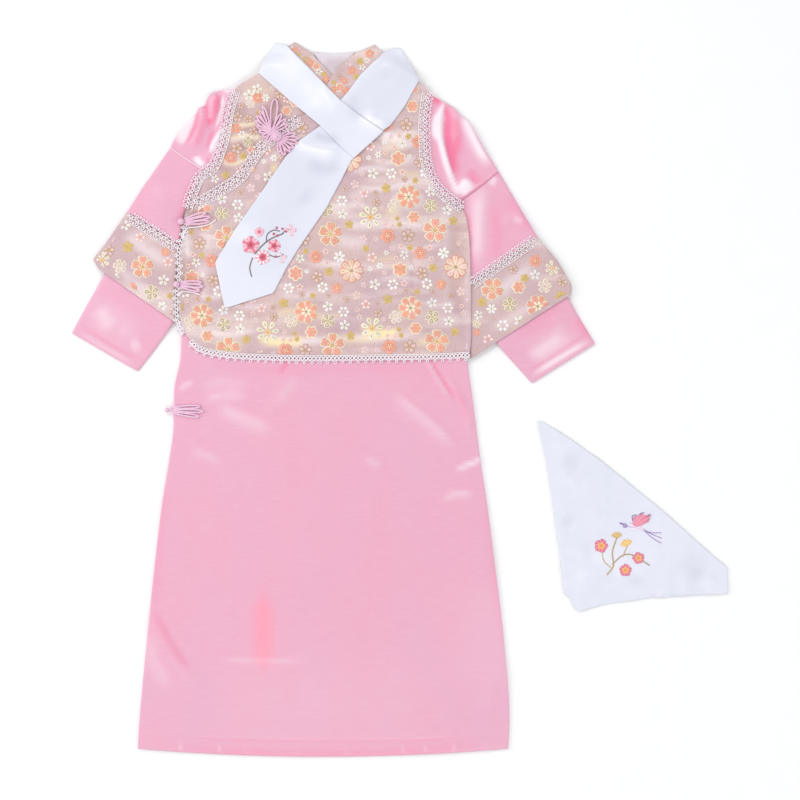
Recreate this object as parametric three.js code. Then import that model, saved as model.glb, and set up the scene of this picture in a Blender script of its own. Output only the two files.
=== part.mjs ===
// A child's Manchu style dress set, laid flat on its back: a long satin robe, a brocade vest
// over it, a long satin scarf wound once round the neck, and a handkerchief beside the skirt.
//
// Millimetres. X runs across the robe from its centre line, Y from its hem up to its neck, and
// Z up from the surface that it lies on. The finished group is moved so that its origin is in
// the middle of its underside.
//
// Each piece of cloth is a closed wall through sections. A section is a line across the piece
// from (x1, y1) to (x2, y2), bowed sideways by "bow". Pieces are laid one after another, and each
// is lifted over the pieces that it lies on, with a small gap, as cloth settles on cloth.

import * as THREE from "three";
import { mergeVertices } from "three/addons/utils/BufferGeometryUtils.js";

// ---------------------------------------------------------------- driving dimensions

const CLOTH = 1.2; // wall of the satin and the brocade
const LACE = 1.0; // wall of the lace trims
const CORD = 2.6; // height of the knotted cord of the frog closures
const GAP = 0.3; // between pieces that touch
const SLEEVE_HOLLOW = 0.6; // between the two layers of an empty sleeve
const BAND_HOLLOW = 3.8; // inside a brocade band, round the cuff that it holds

const BACK_STEP = 55; // grid of the flat back panels
const FRONT_STEP = 30; // grid of the front panels
const SLEEVE_STEP = 18; // grid of the sleeves
const SCARF_STEP = 14; // grid of the scarf
const TRIM_STEP = 11; // grid of collars, lace and closures
const CELL = 3; // cells of the height maps
const NEGLIGIBLE = 1e-6;

const LACE_WIDTH = 8;
const HEM_LACE_WIDTH = 9;

// ---------------------------------------------------------------- colours

function cloth(color, roughness) {
  return new THREE.MeshStandardMaterial({ color, roughness, metalness: 0 });
}

const pinkSatin = cloth("#f0b4cc", 0.42);
const whiteSatin = cloth("#e6e7f1", 0.45);
const brocade = cloth("#dfc3c8", 0.6);
const lining = cloth("#d8cad3", 0.6);
const whiteLace = cloth("#f7eef3", 0.8);
const lilacCord = cloth("#efbfdd", 0.55);

// ---------------------------------------------------------------- tables

// Turns rows of numbers into records with named columns.
function table(columns, rows) {
  return rows.map((row) => Object.fromEntries(columns.map((column, i) => [column, row[i]])));
}

// Sections that run straight across, from a left edge to a right edge at one height.
function levelSections(rows) {
  return rows.map(({ y, left, right, bow = 0 }) => ({ x1: left, y1: y, x2: right, y2: y, bow }));
}

// Robe: one outline serves its front and its back. It has the skirt, the narrow body that is
// under the vest, and the dropped shoulders out to the sleeve seams.
const robeOutline = table(["y", "left", "right", "bow"], [
  [10, -217, 208, -9],
  [43, -215, 210, -8],
  [135, -207, 205, -5],
  [227, -198, 194, -3],
  [296, -190, 185, -1],
  [342, -182, 178, 0],
  [382, -177, 173, 0],
  [419, -176, 168, 0],
  [459, -168, 161, 0],
  [494, -166, 150, 0],
  [530, -138, 136, 0],
  [620, -134, 134, 0],
  [641, -137, 152, 0],
  [676, -144, 200, 0],
  [700, -183, 186, 0],
  [726, -163, 169, 0],
  [741, -152, 155, -1],
  [754, -144, 143, -3],
  [767, -122, 116, -6],
  [780, -98, 92, -10],
  [791, -72, 66, -13],
]);

const vestBackOutline = table(["y", "left", "right", "bow"], [
  [462, -128, 160, -3],
  [474, -151, 163, -2],
  [492, -164, 163, 0],
  [529, -169, 163, 0],
  [570, -167, 162, 0],
  [627, -160, 157, 0],
  [646, -153, 134, 0],
  [668, -142, 118, 0],
  [682, -126, 113, 0],
  [714, -115, 110, 0],
  [743, -110, 111, 0],
  [766, -104, 114, 0],
  [784, -78, 92, -4],
  [802, -52, 68, -8],
]);

// Vest, the wearer's left front: it crosses the chest and closes down the far side.
const vestFrontOutline = table(["y", "left", "right", "bow"], [
  [462, -128, 161, -3],
  [474, -151, 164, -2],
  [492, -165, 164, 0],
  [529, -171, 164, 0],
  [578, -169, 163, 0],
  [606, -161, 161, 0],
  [627, -157, 158, 0],
  [636, -147, 146, 0],
  [652, -122, 128, 0],
  [669, -97, 118, 0],
  [698, -77, 113, 0],
  [718, -52, 111, 0],
  [736, -28, 113, 0],
  [752, 8, 116, 0],
  [766, 28, 115, 0],
  [784, 44, 92, 0],
  [799, 57, 71, 0],
]);

// Vest, the wearer's right front: it shows at the shoulder and runs on under the other front.
const vestUnderOutline = table(["y", "left", "right", "bow"], [
  [632, -158, -136, 0],
  [646, -154, -108, 0],
  [668, -143, -78, 0],
  [682, -127, -66, 0],
  [698, -119, -54, 0],
  [714, -116, -34, 0],
  [736, -111, -6, 0],
  [756, -107, 10, 0],
  [768, -104, -2, 0],
  [784, -80, -19, 0],
  [800, -56, -36, 0],
]);

const collarBackOutline = table(["y", "left", "right", "bow"], [
  [782, 5, 9, 0],
  [790, -3, 16, 0],
  [799, -9, 24, 0],
  [811, -16, 33, -2],
]);

const collarLeftSections = table(["x1", "y1", "x2", "y2"], [
  [-46, 815, -37, 822],
  [-31, 801, -20, 811],
  [-15, 786, -6, 796],
  [0, 771, 5, 783],
  [14, 758, 8, 773],
]);

const collarRightSections = table(["x1", "y1", "x2", "y2"], [
  [55, 819, 63, 809],
  [34, 808, 51, 795],
  [23, 796, 40, 781],
  [11, 783, 28, 768],
  [10, 770, 18, 758],
]);

// Scarf: it passes behind the neck, under all the rest, and its left stretch crosses over its
// right one in front and holds it.
const scarfNeckSections = table(["x1", "y1", "x2", "y2"], [
  [-66, 790, -62, 806],
  [-46, 770, -44, 811],
  [-14, 752, -14, 802],
  [10, 749, 10, 799],
  [32, 753, 33, 802],
  [60, 768, 61, 804],
  [88, 782, 86, 808],
]);

const scarfRightSections = table(["x1", "y1", "x2", "y2", "bow"], [
  [64, 808, 84, 815, 2],
  [60, 803, 96, 797, 0],
  [52, 796, 106, 777, 0],
  [38, 782, 90, 748, 0],
  [24, 763, 73, 725, 0],
  [8, 744, 55, 712, 0],
]);

const scarfTailSections = table(["x1", "y1", "x2", "y2", "bow"], [
  [-4, 727, 42, 699, 0],
  [-31, 708, 28, 685, 0],
  [-47, 689, 17, 663, 0],
  [-69, 657, 0, 631, 0],
  [-105, 606, -33, 583, 0],
  [-128, 568, -46, 562, 0],
  [-122, 540, -61, 533, 0],
  [-117, 516, -112, 517, 0],
]);

const scarfLeftSections = table(["x1", "y1", "x2", "y2", "bow"], [
  [-68, 806, -59, 821, 0],
  [-75, 794, -46, 818, 0],
  [-78, 785, -35, 806, 0],
  [-44, 755, -10, 780, 0],
  [-8, 725, 15, 754, 0],
  [15, 702, 40, 731, 0],
  [29, 691, 57, 716, 0],
]);

const handkerchiefOutline = table(["y", "left", "right"], [
  [168, 287, 290],
  [176, 283, 318],
  [183, 279, 368],
  [188, 273, 461],
  [218, 269, 460],
  [231, 268, 444],
  [286, 261, 382],
  [342, 252, 313],
  [369, 246, 274],
  [386, 242, 246],
]);

// Sleeves, from the shoulder seam down. x1, y1 is the edge beside the vest.
const sleeveLeftSections = table(["x1", "y1", "x2", "y2"], [
  [-145.5, 675, -184, 699],
  [-165, 626, -214, 656],
  [-169.5, 588, -231, 628],
]);
const bandLeftSections = table(["x1", "y1", "x2", "y2"], [
  [-169.7, 587.5, -231.4, 627.5],
  [-174, 543, -256, 592],
  [-174, 508, -271, 573],
  [-174, 499, -264, 562],
]);
const cuffLeftSections = table(["x1", "y1", "x2", "y2"], [
  [-177, 515, -247, 571],
  [-177, 500, -256, 557],
  [-189, 482, -268, 536],
  [-199, 468, -278, 519],
  [-218, 443, -294, 488],
]);

const sleeveRightSections = table(["x1", "y1", "x2", "y2"], [
  [154.5, 641, 200.5, 675.2],
  [164.5, 598, 221, 639],
  [164.7, 545, 243, 600],
]);
const bandRightSections = table(["x1", "y1", "x2", "y2"], [
  [164.7, 544.5, 243.4, 599.4],
  [166, 502, 268, 571],
  [167.5, 468, 284, 544],
  [169, 460, 283, 533],
]);
const cuffRightSections = table(["x1", "y1", "x2", "y2"], [
  [189, 487, 270, 541],
  [198, 474, 279, 528],
  [209, 461, 287, 514],
  [218, 451, 294, 502],
  [236, 430, 309.5, 476],
]);

// Lace routes, each along the edge that it trims.
const laceRoutes = {
  lace_armhole_left: table(["x", "y"], [
    [-106, 766], [-113, 743], [-118, 714], [-123, 697], [-131, 678], [-146, 667], [-156, 646],
    [-161, 630],
  ]),
  lace_armhole_right: table(["x", "y"], [
    [117, 764], [113, 735], [113, 706], [115, 683], [123, 661], [137, 645], [157, 631],
  ]),
  lace_closure: table(["x", "y"], [
    [-30, 734], [-54, 716], [-79, 696], [-99, 667], [-124, 650], [-151, 634],
  ]),
  lace_side: table(["x", "y"], [
    [-161, 616], [-165, 598], [-170, 578], [-169, 560], [-172, 529], [-171, 500], [-163, 486],
  ]),
  lace_hem: table(["x", "y"], [
    [-157, 478], [-146, 468], [-122, 462], [-89, 459], [-24, 457], [53, 458], [120, 459],
    [160, 461],
  ]),
};

// The largest folds, as soft ridges. The angle is the ridge's direction in degrees from X.
const foldColumns = ["x", "y", "angle", "length", "width", "height"];
const skirtFolds = table(foldColumns, [
  [-120, 395, -35, 130, 46, 3.4],
  [-188, 130, 80, 190, 44, 3.2],
  [138, 424, -52, 120, 34, 3.0],
  [70, 300, 84, 260, 60, 2.6],
  [-60, 190, 92, 240, 64, 2.4],
  [168, 120, 84, 200, 50, 3.0],
]);
const shoulderFolds = table(foldColumns, [
  [-146, 716, 62, 110, 30, 4.5],
  [-126, 742, 70, 70, 22, 3.5],
  [133, 716, 96, 110, 26, 4.5],
  [166, 702, 128, 90, 30, 3.5],
]);
const sleeveFolds = table(foldColumns, [
  [184, 612, 84, 120, 30, 4.0],
  [-196, 628, 108, 110, 34, 3.6],
]);
const cuffFolds = table(foldColumns, [
  [262, 480, -60, 90, 34, 2.6],
  [-244, 502, 60, 90, 34, 2.6],
]);
const vestFolds = table(foldColumns, [
  [64, 660, 58, 150, 40, 3.0],
  [96, 560, 84, 150, 44, 2.6],
  [10, 500, 8, 150, 26, 2.6],
  [-110, 500, 20, 90, 30, 2.4],
]);
const chestFolds = table(foldColumns, [
  [-98, 706, 10, 60, 16, 3.0],
  [-92, 682, 14, 70, 18, 3.2],
]);
const scarfRightFolds = table(foldColumns, [
  [70, 738, 12, 56, 26, 5.0],
]);
const scarfTailFolds = table(foldColumns, [
  [-12, 700, 8, 58, 26, 5.0],
  [-70, 610, 55, 120, 30, 2.0],
]);
const handkerchiefFolds = table(foldColumns, [
  [300, 290, 70, 130, 34, 2.6],
  [360, 232, 120, 110, 34, 2.8],
  [430, 205, 96, 60, 24, 2.4],
]);

// ---------------------------------------------------------------- heights of laid pieces

// Height of a fold table at a point: each ridge is a round hump that fades out at its ends.
function foldHeight(folds, x, y) {
  let height = 0;
  for (const fold of folds) {
    const angle = THREE.MathUtils.degToRad(fold.angle);
    const dx = x - fold.x;
    const dy = y - fold.y;
    const along = (dx * Math.cos(angle) + dy * Math.sin(angle)) / (fold.length / 2);
    const across = (dy * Math.cos(angle) - dx * Math.sin(angle)) / (fold.width / 2);
    if (Math.abs(along) < 1 && Math.abs(across) < 1) {
      const hump = Math.cos((along * Math.PI) / 2) * Math.cos((across * Math.PI) / 2);
      height += fold.height * hump * hump;
    }
  }
  return height;
}

const laidTops = new Map(); // piece name to its height map: cell key to highest top

function cellKey(x, y) {
  return Math.floor(x / CELL) * 100000 + Math.floor(y / CELL);
}

// The two facets of each patch of a grid, as the rows and columns of their corners.
function facetsOf(grid) {
  const facets = [];
  for (let i = 0; i + 1 < grid.length; i++) {
    for (let k = 0; k + 1 < grid[i].length; k++) {
      facets.push([[i, k], [i, k + 1], [i + 1, k + 1]]);
      facets.push([[i, k], [i + 1, k + 1], [i + 1, k]]);
    }
  }
  return facets;
}

// Points spread over a facet, half a cell apart, each with its three corner weights.
function samplesOf(plan, facet) {
  const [a, b, c] = facet.map(([i, k]) => plan[i][k]);
  const size = Math.max(a.distanceTo(b), b.distanceTo(c), c.distanceTo(a));
  const steps = Math.ceil(size / (CELL / 2));
  const samples = [];
  for (let m = 0; m <= steps; m++) {
    for (let n = 0; n <= steps - m; n++) {
      const weights = [1 - (m + n) / steps, m / steps, n / steps];
      samples.push({
        weights,
        x: weights[0] * a.x + weights[1] * b.x + weights[2] * c.x,
        y: weights[0] * a.y + weights[1] * b.y + weights[2] * c.y,
      });
    }
  }
  return samples;
}

function heightAt(heights, facet, weights) {
  return facet.reduce((sum, [i, k], n) => sum + weights[n] * heights[i][k], 0);
}

// Records the top of a piece in its height map, and in the cells round each point of it.
function recordTop(name, plan, top) {
  const heights = new Map();
  laidTops.set(name, heights);
  for (const facet of facetsOf(plan)) {
    for (const { x, y, weights } of samplesOf(plan, facet)) {
      const height = heightAt(top, facet, weights);
      for (const dx of [-CELL, 0, CELL]) {
        for (const dy of [-CELL, 0, CELL]) {
          const key = cellKey(x + dx, y + dy);
          heights.set(key, Math.max(heights.get(key) ?? 0, height));
        }
      }
    }
  }
}

// The height just over the highest of the named pieces at a point, or the surface itself.
function restingHeight(names, x, y) {
  const key = cellKey(x, y);
  let highest = 0;
  for (const name of names) {
    highest = Math.max(highest, laidTops.get(name).get(key) ?? 0);
  }
  return highest > 0 ? highest + GAP : 0;
}

// Settles a sheet on the named pieces: its corners rest, and wherever a facet would still dip
// into one of them, its lower corners rise towards that height, by just what the point lacks.
function settle(plan, names) {
  const heights = plan.map((row) => row.map(({ x, y }) => restingHeight(names, x, y)));
  for (const facet of facetsOf(plan)) {
    for (const { x, y, weights } of samplesOf(plan, facet)) {
      const needed = restingHeight(names, x, y);
      const short = needed - heightAt(heights, facet, weights);
      if (short > NEGLIGIBLE) {
        const room = facet.map(([i, k]) => Math.max(0, needed - heights[i][k]));
        const gain = room.reduce((sum, height, n) => sum + weights[n] * height, 0);
        facet.forEach(([i, k], n) => {
          heights[i][k] += (short / gain) * room[n];
        });
      }
    }
  }
  return heights;
}

// ---------------------------------------------------------------- sections and grids

function mixSections(a, b, t) {
  const mixed = {};
  for (const column of Object.keys(a)) {
    mixed[column] = THREE.MathUtils.lerp(a[column], b[column], t);
  }
  return mixed;
}

// Adds sections in between, so that none is further from the next than the step.
function refineSections(sections, step) {
  const refined = [sections[0]];
  for (let i = 0; i + 1 < sections.length; i++) {
    const a = sections[i];
    const b = sections[i + 1];
    const reach = Math.max(
      Math.hypot(b.x1 - a.x1, b.y1 - a.y1),
      Math.hypot(b.x2 - a.x2, b.y2 - a.y2),
    );
    const count = Math.max(1, Math.round(reach / step));
    for (let n = 1; n <= count; n++) {
      refined.push(mixSections(a, b, n / count));
    }
  }
  return refined;
}

// Points across each section, in plan.
function planOf(sections, columns) {
  return sections.map(({ x1, y1, x2, y2, bow = 0 }) => {
    const length = Math.hypot(x2 - x1, y2 - y1);
    const points = [];
    for (let k = 0; k <= columns; k++) {
      const u = k / columns;
      const sideways = bow * 4 * u * (1 - u);
      const x = THREE.MathUtils.lerp(x1, x2, u) - ((y2 - y1) / length) * sideways;
      const y = THREE.MathUtils.lerp(y1, y2, u) + ((x2 - x1) / length) * sideways;
      points.push(new THREE.Vector2(x, y));
    }
    return points;
  });
}

function widestSection(sections) {
  return Math.max(...sections.map(({ x1, y1, x2, y2 }) => Math.hypot(x2 - x1, y2 - y1)));
}

// The sections turned so that their plan runs the same way round for every piece.
function facingUp(sections) {
  const first = sections[0];
  const last = sections[sections.length - 1];
  const across = new THREE.Vector2(first.x2 - first.x1, first.y2 - first.y1);
  const along = new THREE.Vector2(
    last.x1 + last.x2 - first.x1 - first.x2,
    last.y1 + last.y2 - first.y1 - first.y2,
  );
  const turnsLeft = across.cross(along) > 0;
  if (turnsLeft) {
    return sections;
  }
  return sections.map(({ x1, y1, x2, y2, ...rest }) => {
    const turned = { x1: x2, y1: y2, x2: x1, y2: y1, ...rest };
    if ("bow" in rest) {
      turned.bow = -rest.bow;
    }
    return turned;
  });
}

// ---------------------------------------------------------------- closed walls

// Collects the corners of quads, and makes a mesh with merged corners.
class WallBuilder {
  constructor() {
    this.positions = [];
  }

  quad(a, b, c, d) {
    for (const corner of [a, b, c, a, c, d]) {
      this.positions.push(corner.x, corner.y, corner.z);
    }
  }

  // Joins two rows of corners. Faces point up where the first row is nearer and runs right.
  strip(near, far) {
    for (let k = 0; k + 1 < near.length; k++) {
      this.quad(near[k], near[k + 1], far[k + 1], far[k]);
    }
  }

  // The same patches, with the same diagonals, seen from below.
  underStrip(near, far) {
    for (let k = 0; k + 1 < near.length; k++) {
      this.quad(near[k], far[k], far[k + 1], near[k + 1]);
    }
  }

  mesh(name, material) {
    const loose = new THREE.BufferGeometry();
    loose.setAttribute("position", new THREE.Float32BufferAttribute(this.positions, 3));
    const geometry = mergeVertices(loose, 1e-4);
    geometry.computeVertexNormals();
    const mesh = new THREE.Mesh(geometry, material);
    mesh.name = name;
    return mesh;
  }
}

function raised(plan, heights) {
  return plan.map((row, i) => row.map((p, k) => new THREE.Vector3(p.x, p.y, heights[i][k])));
}

function firstColumn(surface) {
  return surface.map((row) => row[0]);
}

function lastColumn(surface) {
  return surface.map((row) => row[row.length - 1]);
}

function addHeight(heights, more) {
  return heights.map((row) => row.map((height) => height + more));
}

// A sheet: a top, a bottom one wall below it, and the cut edge all round.
function sheetWall(name, plan, bottomHeights, thickness, material) {
  const bottom = raised(plan, bottomHeights);
  const top = raised(plan, addHeight(bottomHeights, thickness));
  const wall = new WallBuilder();
  const last = plan.length - 1;
  for (let i = 0; i < last; i++) {
    wall.strip(top[i], top[i + 1]);
    wall.underStrip(bottom[i], bottom[i + 1]);
  }
  wall.strip(bottom[0], top[0]);
  wall.strip(top[last], bottom[last]);
  wall.strip(firstColumn(top), firstColumn(bottom));
  wall.strip(lastColumn(bottom), lastColumn(top));
  return wall.mesh(name, material);
}

// A flattened tube, open at both ends: a lower layer, an upper one over a thin hollow, and a
// rounded edge that joins them at each side.
function tubeWall(name, plan, lowHeights, hollowHeights, material) {
  const inside = plan.map((row) => insetEnds(row, CLOTH));
  const lowInside = addHeight(lowHeights, CLOTH);
  const highInside = lowInside.map((row, i) => row.map((z, k) => z + hollowHeights[i][k]));
  const high = addHeight(highInside, CLOTH);
  const outer = ringRows(raised(plan, lowHeights), raised(plan, high));
  const inner = ringRows(raised(inside, lowInside), raised(inside, highInside));
  const wall = new WallBuilder();
  const last = plan.length - 1;
  for (let i = 0; i < last; i++) {
    wall.strip(outer[i + 1], outer[i]);
    wall.strip(inner[i], inner[i + 1]);
  }
  wall.strip(outer[0], inner[0]);
  wall.strip(inner[last], outer[last]);
  return wall.mesh(name, material);
}

// One closed ring of corners a section: along the lower layer, and back along the upper one.
function ringRows(low, high) {
  return low.map((row, i) => [...row, ...[...high[i]].reverse(), row[0]]);
}

function insetEnds(row, inset) {
  const toRight = row[row.length - 1].clone().sub(row[0]).setLength(inset);
  return row.map((point, k) => {
    if (k === 0) {
      return point.clone().add(toRight);
    }
    if (k === row.length - 1) {
      return point.clone().sub(toRight);
    }
    return point.clone();
  });
}

// ---------------------------------------------------------------- laying pieces

// Lays a sheet on the pieces named in "on", and records its top for the pieces after it.
function laySheet(name, sections, { material, step, on = [], folds = [], thickness = CLOTH }) {
  const refined = refineSections(facingUp(sections), step);
  const columns = Math.max(1, Math.round(widestSection(refined) / step));
  const plan = planOf(refined, columns);
  const heights = settle(plan, on).map((row, i) => row.map((height, k) => {
    return height + foldHeight(folds, plan[i][k].x, plan[i][k].y);
  }));
  recordTop(name, plan, addHeight(heights, thickness));
  return sheetWall(name, plan, heights, thickness, material);
}

// Lays a flattened tube on the surface. "rise" lifts its sections, and "hollow" parts its layers.
function layTube(name, sections, { material, step, folds = [] }) {
  const refined = refineSections(facingUp(sections), step);
  const columns = Math.round(widestSection(refined) / step);
  const plan = planOf(refined, columns);
  const low = refined.map(({ rise = 0 }) => new Array(columns + 1).fill(rise));
  const hollow = plan.map((row, i) => row.map(({ x, y }) => {
    return refined[i].hollow + foldHeight(folds, x, y);
  }));
  const top = low.map((row, i) => row.map((z, k) => z + hollow[i][k] + 2 * CLOTH));
  recordTop(name, plan, top);
  return tubeWall(name, plan, low, hollow, material);
}

// Sections of an even width across a route.
function sectionsAlong(route, width) {
  return route.map(({ x, y }, i) => {
    const before = route[Math.max(0, i - 1)];
    const after = route[Math.min(route.length - 1, i + 1)];
    const heading = new THREE.Vector2(after.x - before.x, after.y - before.y).setLength(width / 2);
    return { x1: x + heading.y, y1: y - heading.x, x2: x - heading.y, y2: y + heading.x };
  });
}

function layLace(name, route, width, on) {
  const sections = refineSections(facingUp(sectionsAlong(route, width)), TRIM_STEP);
  const plan = planOf(sections, 1);
  const heights = settle(plan, on);
  recordTop(name, plan, addHeight(heights, LACE));
  return sheetWall(name, plan, heights, LACE, whiteLace);
}

// ---------------------------------------------------------------- robe

const robePieces = [
  "robe_front", "robe_sleeve_left", "robe_sleeve_right", "sleeve_band_left",
  "sleeve_band_right", "band_lace_left", "band_lace_right",
];

function makeRobeBody() {
  const sections = levelSections(robeOutline);
  const back = laySheet("robe_back", sections, {
    material: pinkSatin, step: BACK_STEP, on: ["vest_back", "scarf_neck"],
  });
  const front = laySheet("robe_front", sections, {
    material: pinkSatin, step: FRONT_STEP, on: ["robe_back"],
    folds: [...skirtFolds, ...shoulderFolds],
  });
  return [back, front];
}

// The sections of a sleeve with their hollow, which opens down to the band that it carries.
function sleeveSections(sections) {
  const last = sections.length - 1;
  return sections.map((section, i) => {
    return { ...section, hollow: THREE.MathUtils.lerp(SLEEVE_HOLLOW, BAND_HOLLOW, i / last) };
  });
}

function bandSections(sections) {
  return sections.map((section) => ({ ...section, hollow: BAND_HOLLOW }));
}

// The sections of a cuff: the first two are inside its band, on the band's lower layer, and the
// cuff then drops to the surface.
function cuffSections(sections) {
  const hollow = SLEEVE_HOLLOW;
  return sections.map((section, i) => ({ ...section, rise: i < 2 ? CLOTH + GAP : 0, hollow }));
}

function makeSleeve(side, sleeve, band, cuff) {
  const options = { material: pinkSatin, step: SLEEVE_STEP };
  const upper = layTube(`robe_sleeve_${side}`, sleeveSections(sleeve), {
    ...options, folds: sleeveFolds,
  });
  const trim = layTube(`sleeve_band_${side}`, bandSections(band), {
    ...options, material: brocade,
  });
  const end = layTube(`cuff_${side}`, cuffSections(cuff), { ...options, folds: cuffFolds });
  return [upper, trim, end];
}

// Lace along the top of a band, on the seam where the band joins the sleeve.
function makeBandLace(side, band) {
  const { x1, y1, x2, y2 } = band[0];
  const inset = 6 / Math.hypot(x2 - x1, y2 - y1);
  const route = [inset, 1 / 3, 2 / 3, 1].map((t) => ({
    x: THREE.MathUtils.lerp(x1, x2, t),
    y: THREE.MathUtils.lerp(y1, y2, t),
  }));
  const on = [`robe_sleeve_${side}`, `sleeve_band_${side}`];
  return layLace(`band_lace_${side}`, route, LACE_WIDTH, on);
}

// ---------------------------------------------------------------- vest

const vestPieces = ["vest_back", "vest_front_under", "vest_front"];

function makeVestBack() {
  return laySheet("vest_back", levelSections(vestBackOutline), {
    material: brocade, step: BACK_STEP, on: ["scarf_neck"],
  });
}

function makeVestFronts() {
  const under = laySheet("vest_front_under", levelSections(vestUnderOutline), {
    material: brocade, step: FRONT_STEP, on: ["vest_back", "robe_front"], folds: chestFolds,
  });
  const front = laySheet("vest_front", levelSections(vestFrontOutline), {
    material: brocade, step: FRONT_STEP, on: ["vest_back", "robe_front", "vest_front_under"],
    folds: vestFolds,
  });
  return [under, front];
}

function makeCollar() {
  const back = laySheet("collar_back", levelSections(collarBackOutline), {
    material: lining, step: TRIM_STEP, on: ["scarf_neck", "vest_back", "robe_front"],
  });
  const on = [...vestPieces, "scarf_neck", "robe_front", "collar_back"];
  const left = laySheet("collar_front_left", collarLeftSections, {
    material: brocade, step: TRIM_STEP, on,
  });
  const right = laySheet("collar_front_right", collarRightSections, {
    material: brocade, step: TRIM_STEP, on,
  });
  return [back, left, right];
}

function makeVestLace() {
  const laid = [];
  for (const [name, route] of Object.entries(laceRoutes)) {
    const width = name === "lace_hem" ? HEM_LACE_WIDTH : LACE_WIDTH;
    const on = [...robePieces, ...vestPieces, ...laid.map((lace) => lace.name)];
    laid.push(layLace(name, route, width, on));
  }
  return laid;
}

// ---------------------------------------------------------------- frog closures

const trimmedVest = [...robePieces, ...vestPieces, ...Object.keys(laceRoutes)];

// A frog closure's sewn loops: a flat leaf of cord, wide at its end and narrow at the knot.
const frogLeaves = {
  frog_chest_loops: table(["x1", "y1", "x2", "y2"], [
    [-61.5, 718.5, -66.5, 714.5],
    [-58, 730, -80, 716],
    [-55, 741, -84, 732],
    [-56, 756, -78, 745],
  ]),
  frog_chest_knot_loops: table(["x1", "y1", "x2", "y2"], [
    [-57, 707.5, -54, 711.5],
    [-50, 694, -38, 714],
    [-42, 690, -31, 700],
  ]),
  frog_armpit_loops: table(["x1", "y1", "x2", "y2"], [
    [-160, 614, -160, 620],
    [-146, 612, -146, 623],
    [-132, 614, -132, 621],
  ]),
  frog_side_loops: table(["x1", "y1", "x2", "y2"], [
    [-170, 536, -170, 542],
    [-156, 534, -156, 545],
    [-143, 536, -143, 543],
  ]),
  robe_frog_loops: table(["x1", "y1", "x2", "y2"], [
    [-176, 395, -176, 401],
    [-160, 391, -160, 405],
    [-146, 394, -146, 403],
  ]),
};

const frogKnots = table(["name", "x", "y", "diameter"], [
  ["frog_chest_knot", -60.5, 712.5, 10],
  ["frog_armpit_knot", -164.9, 617, 9],
  ["frog_side_knot", -174.9, 539, 9],
  ["robe_frog_knot", -180.9, 398, 9],
]);

function makeFrogLoops() {
  return Object.entries(frogLeaves).map(([name, sections]) => {
    return laySheet(name, sections, {
      material: lilacCord, step: TRIM_STEP, on: trimmedVest, thickness: CORD,
    });
  });
}

// The middle of a disc and points round it.
function discPoints(x, y, radius) {
  const points = [new THREE.Vector2(x, y)];
  for (let turn = 0; turn < 8; turn++) {
    const angle = (turn * Math.PI) / 4;
    points.push(new THREE.Vector2(x + radius * Math.cos(angle), y + radius * Math.sin(angle)));
  }
  return points;
}

// A knot is a button of plaited cord, a little flat, at the narrow end of its loops.
function makeFrogKnots() {
  return frogKnots.map(({ name, x, y, diameter }) => {
    const radius = diameter / 2;
    const flatness = 0.7;
    const ball = new THREE.SphereGeometry(radius, 10, 6);
    ball.deleteAttribute("normal");
    ball.deleteAttribute("uv");
    const mesh = new THREE.Mesh(mergeVertices(ball), lilacCord);
    mesh.name = name;
    mesh.rotation.x = Math.PI / 2;
    mesh.scale.y = flatness;
    const spots = discPoints(x, y, radius);
    const rest = Math.max(...spots.map((spot) => restingHeight(trimmedVest, spot.x, spot.y)));
    mesh.position.set(x, y, rest + radius * flatness);
    return mesh;
  });
}

// ---------------------------------------------------------------- scarf and handkerchief

function makeScarfNeck() {
  return laySheet("scarf_neck", scarfNeckSections, { material: whiteSatin, step: SCARF_STEP });
}

function makeScarfFront() {
  const under = [
    ...trimmedVest, ...Object.keys(frogLeaves), "collar_front_left", "collar_front_right",
    "collar_back", "scarf_neck",
  ];
  const options = { material: whiteSatin, step: SCARF_STEP };
  const right = laySheet("scarf_right", scarfRightSections, {
    ...options, on: under, folds: scarfRightFolds,
  });
  const tail = laySheet("scarf_tail", scarfTailSections, {
    ...options, on: under, folds: scarfTailFolds,
  });
  const left = laySheet("scarf_left", scarfLeftSections, {
    ...options, on: [...under, "scarf_right", "scarf_tail"],
  });
  return [right, tail, left];
}

function makeHandkerchief() {
  return laySheet("handkerchief", levelSections(handkerchiefOutline), {
    material: whiteSatin, step: FRONT_STEP, folds: handkerchiefFolds,
  });
}

// ---------------------------------------------------------------- the set

// Moves the set so that the origin is in the middle of its underside.
function centreOnOrigin(group) {
  const box = new THREE.Box3().setFromObject(group, true);
  const middle = box.getCenter(new THREE.Vector3());
  group.position.set(-middle.x, -middle.y, -box.min.z);
}

function makeSet() {
  const set = new THREE.Group();
  set.add(makeScarfNeck());
  set.add(makeVestBack());
  set.add(...makeRobeBody());
  set.add(...makeSleeve("left", sleeveLeftSections, bandLeftSections, cuffLeftSections));
  set.add(...makeSleeve("right", sleeveRightSections, bandRightSections, cuffRightSections));
  set.add(makeBandLace("left", bandLeftSections));
  set.add(makeBandLace("right", bandRightSections));
  set.add(...makeVestFronts());
  set.add(...makeCollar());
  set.add(...makeVestLace());
  set.add(...makeFrogLoops());
  set.add(...makeFrogKnots());
  set.add(...makeScarfFront());
  set.add(makeHandkerchief());
  centreOnOrigin(set);
  return set;
}

export default makeSet();
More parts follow.
